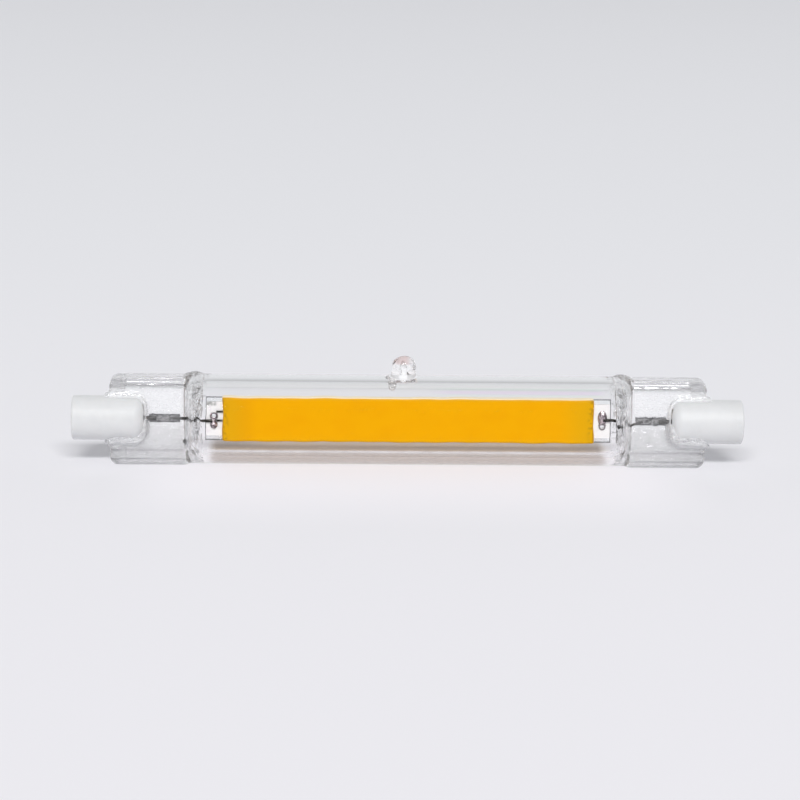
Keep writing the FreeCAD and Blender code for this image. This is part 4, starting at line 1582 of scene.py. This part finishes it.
@dataclass
class Cap:
    """A ceramic cap with its contact. Sizes are in mm."""

    side: Side
    ceramic: Material
    nickel: Material
    start: float = 46.3
    end: float = 58.8
    radius: float = 3.9
    nose: float = 1.8
    rim: float = 0.4
    mouth: float = 0.25
    mouth_bow: float = 0.07
    recess: float = 2.5
    step: float = 57.2
    seat: float = 2.3
    floor: float = 56.3
    bore: float = 0.95
    shank_end: float = 54.25
    slot: tuple = (1.5, 2.6, 51.9)
    slot_over: float = 1.0
    nose_steps: int = 14
    rim_steps: int = 8
    around: int = 128
    crease: float = 30.0
    contact_radius: float = 2.2
    contact_face: float = 57.1
    contact_rim: float = 0.25
    shank_radius: float = 0.9
    shank_hole: float = 0.41
    shank_gap: float = 0.05
    dish: tuple = ((0.0, 1.25), (0.06, 1.0), (0.15, 0.5), (0.18, POINT))
    contact_steps: int = 6
    around_contact: int = 72

    def profile(self) -> list:
        """The cap's outside and its stepped recess.

        Returns:
            Rows of distance along the lamp and radius.
        """
        return [
            (self.start, POINT),
            *arc((self.start + self.nose, self.radius - self.nose), self.nose, 180.0, 90.0, self.nose_steps),
            *arc((self.end - self.rim, self.radius - self.rim), self.rim, 90.0, 0.0, self.rim_steps),
            (self.end, self.recess + self.mouth),
            (self.end - self.mouth_bow, self.recess + self.mouth_bow),
            (self.end - self.mouth, self.recess),
            (self.step, self.recess),
            (self.step, self.seat),
            (self.floor, self.seat),
            (self.floor, self.bore),
            (self.shank_end, self.bore),
            (self.shank_end, POINT),
        ]

    def build(self) -> Object:
        """Makes the ceramic, with the slot for the glass tongue.

        Returns:
            The cap.
        """
        name = f"cap_{self.side.word}"
        cap = turned(name, self.profile(), (0, 0, AXIS_HEIGHT), self.side.along, self.around)
        half_y, half_z, depth = self.slot
        corners = [(-half_y, -half_z), (half_y, -half_z), (half_y, half_z), (-half_y, half_z)]
        ends = [self.side.value * x for x in (self.start - self.slot_over, depth)]
        rings = [[(x, y, AXIS_HEIGHT + z) for y, z in corners] for x in ends]
        combine(cap, skin("slot", rings), Operation.DIFFERENCE)
        soften(cap.data, self.crease)
        dress(cap, self.ceramic, "cap_ceramic", f"ceramic_cap_{self.side.word}")
        return cap

    def contact(self) -> Object:
        """Makes the contact, a shallow dish on a shank.

        Returns:
            The contact.
        """
        rim, foot = self.contact_rim, self.shank_end + self.shank_gap
        profile = [(foot, self.shank_hole), (foot, self.shank_radius), (self.floor, self.shank_radius)]
        profile += [(self.floor, self.contact_radius)]
        corner = (self.contact_face - rim, self.contact_radius - rim)
        profile += arc(corner, rim, 90.0, 0.0, self.contact_steps)
        profile += [(self.contact_face - depth, radius) for depth, radius in self.dish]
        name = f"contact_disc_{self.side.word}"
        disc = turned(name, profile, (0, 0, AXIS_HEIGHT), self.side.along, self.around_contact)
        dress(disc, self.nickel, "contact_nickel", f"contact_{self.side.word}")
        return disc


@dataclass
class Strip:
    """The light strip: phosphor coat, plate, terminals and what the coat covers.

    Sizes are in mm. What shrinks the coat's section is a share of its width or its height.
    """

    coat_end: float = 32.65
    coat_half: float = 1.05
    coat_rise: float = 4.05
    coat_round: float = 0.35
    coat_rings: int = 240
    corner_steps: int = 6
    around: int = 96
    wave_seed: int = 31
    wave_squeeze: float = 0.6
    end_round: float = 0.25
    end_shrink: float = 0.14
    wave_length: float = 7.0
    width_shrink: tuple = (0.03, 0.015)
    height_shrink: tuple = (0.022, 0.011)
    bulge: tuple = (-30.9, 1.6, 0.012)
    lean_width: float = 2.0
    lean: tuple = (0.12, 0.1, 0.9)
    lean_phases: tuple = (0.5, 2.0)
    lean_most: float = 0.4
    slant: float = 0.03
    crease: float = 50.0

    def section(self) -> np.ndarray:
        """The coat's outline across the strip, with round corners.

        Returns:
            Rows of depth and height from the axis, evenly spread.
        """
        y, z = self.coat_half - self.coat_round, self.coat_rise - self.coat_round
        outline = []
        for centre, start in (((y, -z), -90.0), ((y, z), 0.0), ((-y, z), 90.0), ((-y, -z), 180.0)):
            outline += arc(centre, self.coat_round, start, start + 90.0, self.corner_steps)
        loop = np.array(outline + outline[:1])
        runs = np.concatenate([[0.0], np.cumsum(np.linalg.norm(np.diff(loop, axis=0), axis=1))])
        places = np.linspace(0.0, runs[-1], self.around, endpoint=False)
        return np.stack([np.interp(places, runs, loop[:, k]) for k in range(2)], axis=1)

    def coat(self) -> Object:
        """The phosphor coat: a bar with soft, slightly uneven edges and ends.

        Returns:
            The coat.
        """
        y, z = self.section().T
        bulge_x, bulge_width, bulge_share = self.bulge
        rings = []
        for x in np.linspace(-self.coat_end, self.coat_end, self.coat_rings):
            inset = max(0.0, abs(x) - (self.coat_end - self.end_round)) / self.end_round
            shrink = self.end_shrink * (1.0 - circle(inset))
            wave = waves(x, z * self.wave_squeeze, self.wave_length, self.wave_seed)
            narrow, low = (least + more * wave for least, more in (self.width_shrink, self.height_shrink))
            low = low - bulge_share * math.exp(-(((x - bulge_x) / bulge_width) ** 2))
            reach_y = 1.0 - narrow - shrink / self.coat_half
            reach_z = 1.0 - low - shrink / self.coat_rise
            rings.append(spots(x + self.end_wave(x, z), y * reach_y, AXIS_HEIGHT + z * reach_z))
        bar = skin("phosphor_bar", rings, self.crease)
        dress(bar, Phosphor().build(), "phosphor", "phosphor_coat")
        return bar

    def end_wave(self, x: float, height: np.ndarray) -> np.ndarray:
        """How far each end's line leans and waves, always inwards.

        Args:
            x: The station.
            height: Heights of the section's points from the axis.

        Returns:
            Lengths along X.
        """
        near = float(smooth_step(abs(x), self.coat_end - self.lean_width, self.coat_end))
        least, more, pace = self.lean
        lean = least + more * np.sin(height * pace + self.lean_phases[int(x > 0)])
        slant = self.slant * height if x > 0 else 0.0
        return -math.copysign(1.0, x) * near * np.clip(lean + slant, 0.0, self.lean_most)

    def build(self) -> None:
        """Makes the coat and finishes the nodes that stay in view."""
        self.coat()
        repaint(StripPlate().build(), "led_substrate")
        repaint(Terminal().build(), "terminal_left", "terminal_right")
        repaint(SILVER_TRACK.build(), "printed_tracks")
        repaint(LIGHT_CHIP.build(), "led_chips_front", "led_chips_back")
        repaint(MOULDING.build(), "rectifier_chip", "driver_chip")


@dataclass
class Bump:
    """One swelling in a pool of solder. Sizes are in mm.

    Args:
        x: Its middle along the strip, from the eyelet.
        z: Its middle across the strip, from the axis.
        half_x: Half its width.
        half_z: Half its height.
        rise: How far it stands up.
    """

    x: float
    z: float
    half_x: float
    half_z: float
    rise: float


@dataclass
class SolderJoint:
    """A pool of solder that holds an inner lead on its terminal. Sizes are in mm."""

    side: Side
    metal: Material
    bumps: tuple
    ring_z: float
    eyelet_x: float = 34.075
    pad_face: float = 0.46
    ring_radius: float = 0.6
    ring_wall: float = 0.16
    ring_rise: float = 0.34
    ring_slope: float = 0.25
    pit_share: float = 0.75
    merge_share: float = 0.25
    wave_seed: int = 41
    wave_length: float = 0.5
    wave_share: float = 0.06
    least_rise: float = 0.015
    back_rise: float = 0.002
    clearance: float = 0.01
    cell: float = 0.04
    crease: float = 60.0

    def height(self, x: np.ndarray, z: np.ndarray) -> np.ndarray:
        """Height of the solder over the pad.

        Args:
            x: Distances along the strip from the eyelet.
            z: Distances across it from the axis.

        Returns:
            Heights.
        """
        total = np.zeros_like(x)
        for bump in self.bumps:
            share = ((x - bump.x) / bump.half_x) ** 2 + ((z - bump.z) / bump.half_z) ** 2
            dome = bump.rise * np.sqrt(np.clip(1.0 - share, 0.0, 1.0))
            total = np.maximum(total, dome) + self.merge_share * np.minimum(total, dome)
        away = np.hypot(x, z - self.ring_z) - self.ring_radius
        rim = self.ring_rise * circle(away / self.ring_wall)
        pit = smooth_step(-away, 0.0, self.ring_slope)
        total = np.maximum(total * (1.0 - self.pit_share * pit), rim)
        wave = waves(x, z, self.wave_length, self.wave_seed + self.side.value)
        return total * (1.0 + self.wave_share * wave)

    @staticmethod
    def closed_sheet(keep: np.ndarray) -> np.ndarray:
        """Faces of a grid's front, of its back and of the wall between them.

        Args:
            keep: Which of the grid's corners the sheet covers.

        Returns:
            Rows of four corner numbers, where the back's start after the front's.
        """
        columns, size = keep.shape[1], keep.size
        cells = keep[:-1, :-1] & keep[1:, :-1] & keep[:-1, 1:] & keep[1:, 1:]
        faces, edges = [], {}
        for i, k in zip(*np.nonzero(cells)):
            start = i * columns + k
            loop = [start, start + columns, start + columns + 1, start + 1]
            faces += [loop, [size + n for n in reversed(loop)]]
            for a, b in zip(loop, loop[1:] + loop[:1]):
                if edges.pop((b, a), None) is None:
                    edges[(a, b)] = True
        return np.array(faces + [[b, a, size + a, size + b] for a, b in edges])

    def build(self) -> Object:
        """Makes the pool as a closed mesh whose back lies on the pad.

        Returns:
            The pool.
        """
        low, high = (np.array(corner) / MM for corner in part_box(f"solder_joint_{self.side.word}"))
        middle = self.side.value * self.eyelet_x
        across = np.arange(low[0], high[0] + self.cell / 2, self.cell) - middle
        up = np.arange(low[2], high[2] + self.cell / 2, self.cell) - AXIS_HEIGHT
        x, z = np.meshgrid(across, up, indexing="ij")
        rise = np.minimum(self.height(x, z), -low[1] - self.pad_face - self.clearance)
        layers = [
            spots(x + middle, -self.pad_face - away, z + AXIS_HEIGHT).reshape(-1, 3)
            for away in (rise, self.back_rise)
        ]
        faces = self.closed_sheet(rise > self.least_rise)
        used, numbers = np.unique(faces, return_inverse=True)
        faces = numbers.reshape(faces.shape).tolist()
        pool = new_object(f"solder_{self.side.word}", np.concatenate(layers)[used], faces, self.crease)
        face_outwards(pool.data)
        dress(pool, self.metal, "solder", f"solder_joint_{self.side.word}")
        return pool


class Leads:
    """The wires and foils that carry the current through the seals."""

    def build(self) -> None:
        """Finishes the wires and foils, whose solids stay in view."""
        wires = ("inner_lead_left", "inner_lead_right", "outer_lead_left", "outer_lead_right", "jumper_wires")
        repaint(DARK_WIRE.build(), *wires)
        repaint(SealFoil().build(), "foil_left", "foil_right")
        repaint(Cement().build(), "cap_cement_left", "cap_cement_right")


@dataclass(frozen=True)
class SoftBox:
    """A soft light that faces the lamp from the camera's side.

    Args:
        name: Its name.
        elevation: Its height above the floor, in degrees.
        distance: Its distance, in metres.
        size: Its width and height, in metres.
        watts: Its power.
    """

    name: str
    elevation: float
    distance: float
    size: tuple
    watts: float

    def build(self) -> None:
        """Makes the light."""
        data = bpy.data.lights.new(self.name, "AREA")
        data.shape = "RECTANGLE"
        data.size, data.size_y = self.size
        data.energy = self.watts
        item = added(self.name, data)
        item.location = direction(0.0, self.elevation) * self.distance
        item.rotation_mode = "QUATERNION"
        item.rotation_quaternion = (-item.location).to_track_quat("-Z", "Y")


def direction(azimuth: float, elevation: float) -> Vector:
    """The unit vector from the lamp to a place round it, from angles in degrees."""
    a, e = math.radians(azimuth), math.radians(elevation)
    return Vector((math.sin(a) * math.cos(e), -math.cos(a) * math.cos(e), math.sin(e)))


@dataclass
class Studio:
    """The pale floor, the soft lights and the camera. Sizes are in metres and degrees."""

    distance: float = 0.5
    elevation: float = 12.0
    azimuth: float = -2.0
    roll: float = 0.85
    view_width: float = 0.1403
    aim: tuple = (-0.0015, 0.0, 0.01152)
    sensor: float = 36.0
    clip: tuple = (0.02, 20.0)
    floor_size: float = 4.0
    fibre: Grain = Grain(0.5)
    fibre_depth: float = 0.01
    floor_roughness: float = 0.9
    floor_shine: float = 0.2
    near_shade: tuple = (0.868, 0.856, 0.888)
    # Colour of the painted pool of light on the floor round the tube.
    painted_light_pool: tuple = (0.962, 0.94, 0.98)
    # The floor's painted shade towards the back.
    far_painted_shade: tuple = (0.836, 0.838, 0.863)
    far_zone: tuple = (-0.2, 0.35)
    light_pool_depth: tuple = (0.008, 0.05, 1.0, 0.0)
    light_pool_reach: tuple = (0.036, 0.054, 1.0, 0.0)
    bounces: int = 24
    boxes: tuple = (
        SoftBox("key", 40.0, 8.0, (5.0, 1.5), 496.0),
        SoftBox("overhead", 84.0, 6.0, (6.0, 5.0), 32.0),
    )
    room_tint: tuple = (0.96, 0.975, 1.0)
    room_level: float = 0.31
    back_glow: float = 0.5
    back_zone: tuple = (-0.3, 0.5, 0.0, 1.0)
    upper_zone: tuple = (0.3, 0.75, 1.0, 0.25)

    def floor(self) -> Object:
        """A plain floor, a little darker towards the back as painted shade, with a painted pool of light
        round the tube.

        Returns:
            The floor.
        """
        half = self.floor_size / 2
        points = np.array([(-half, -half, 0), (half, -half, 0), (half, half * 2, 0), (-half, half * 2, 0)])
        plane = new_object("floor", points / MM, [(0, 1, 2, 3)])
        tree = Tree("floor_paper")
        # Painted shade: the floor darkens towards the back.
        shade = tree.mixed(tree.between(tree.parts["Y"], *self.far_zone), self.near_shade, self.far_painted_shade)
        # Painted pool of light on the floor under and around the tube.
        middle = tree.times(
            tree.between(tree.off("Y"), *self.light_pool_depth), tree.between(tree.off("X"), *self.light_pool_reach)
        )
        shader = tree.shade(
            Base_Color=tree.mixed(middle, shade, self.painted_light_pool),
            Roughness=self.floor_roughness,
            Specular_IOR_Level=self.floor_shine,
            Normal=tree.bump(tree.noise(self.fibre), self.fibre_depth),
        )
        plane.data.materials.append(tree.finish(shader))
        return plane

    def surroundings(self) -> None:
        """A pale room, dimmer on the camera's side and overhead."""
        tree = RoomTree("room")
        split = tree.add("SeparateXYZ", Vector=tree.add("TexCoord").outputs["Generated"])
        zones = (("Y", self.back_zone), ("Z", self.upper_zone))
        shares = [tree.between(split.outputs[axis], *zone) for axis, zone in zones]
        level = tree.sum("MULTIPLY_ADD", tree.times(*shares), self.back_glow, self.room_level)
        shade = tree.add("Background", Color=self.room_tint, Strength=level)
        bpy.context.scene.world = tree.finish(shade.outputs[0])

    def camera(self) -> None:
        """Looks along the photograph's line of sight."""
        data = bpy.data.cameras.new("camera")
        data.sensor_width = self.sensor
        data.lens = self.sensor * self.distance / self.view_width
        data.clip_start, data.clip_end = self.clip
        item = added("camera", data)
        back = direction(self.azimuth, self.elevation)
        item.rotation_mode = "QUATERNION"
        look = (-back).to_track_quat("-Z", "Y")
        item.rotation_quaternion = look @ Quaternion(UP, math.radians(self.roll))
        item.location = Vector(self.aim) + back * self.distance
        bpy.context.scene.camera = item

    def build(self) -> None:
        """Makes the floor, the lights, the room and the camera."""
        scene = bpy.context.scene
        scene.view_settings.view_transform = "Standard"
        scene.cycles.max_bounces = scene.cycles.transmission_bounces = self.bounces
        scene.cycles.glossy_bounces = scene.cycles.transparent_max_bounces = self.bounces
        self.floor()
        for box in self.boxes:
            box.build()
        self.surroundings()
        self.camera()


LEFT_POOL = (Bump(-0.1, -0.2, 0.5, 0.5, 0.45), Bump(0.0, -1.0, 0.68, 0.7, 0.66))
RIGHT_POOL = (Bump(0.0, 0.6, 0.84, 1.33, 0.42), Bump(0.15, 1.0, 0.55, 0.8, 0.3))


def main() -> None:
    """Builds the lamp and its studio."""
    logging.basicConfig(level=logging.INFO, format="%(message)s")
    Envelope().build()
    ceramic, nickel = Ceramic().build(), NICKEL.build()
    for side in Side:
        cap = Cap(side, ceramic, nickel)
        cap.build()
        cap.contact()
    Strip().build()
    solder = SOLDER.build()
    SolderJoint(Side.LEFT, solder, LEFT_POOL, 0.55).build()
    SolderJoint(Side.RIGHT, solder, RIGHT_POOL, -0.95).build()
    Leads().build()
    Studio().build()


if __name__ == "__main__":
    main()
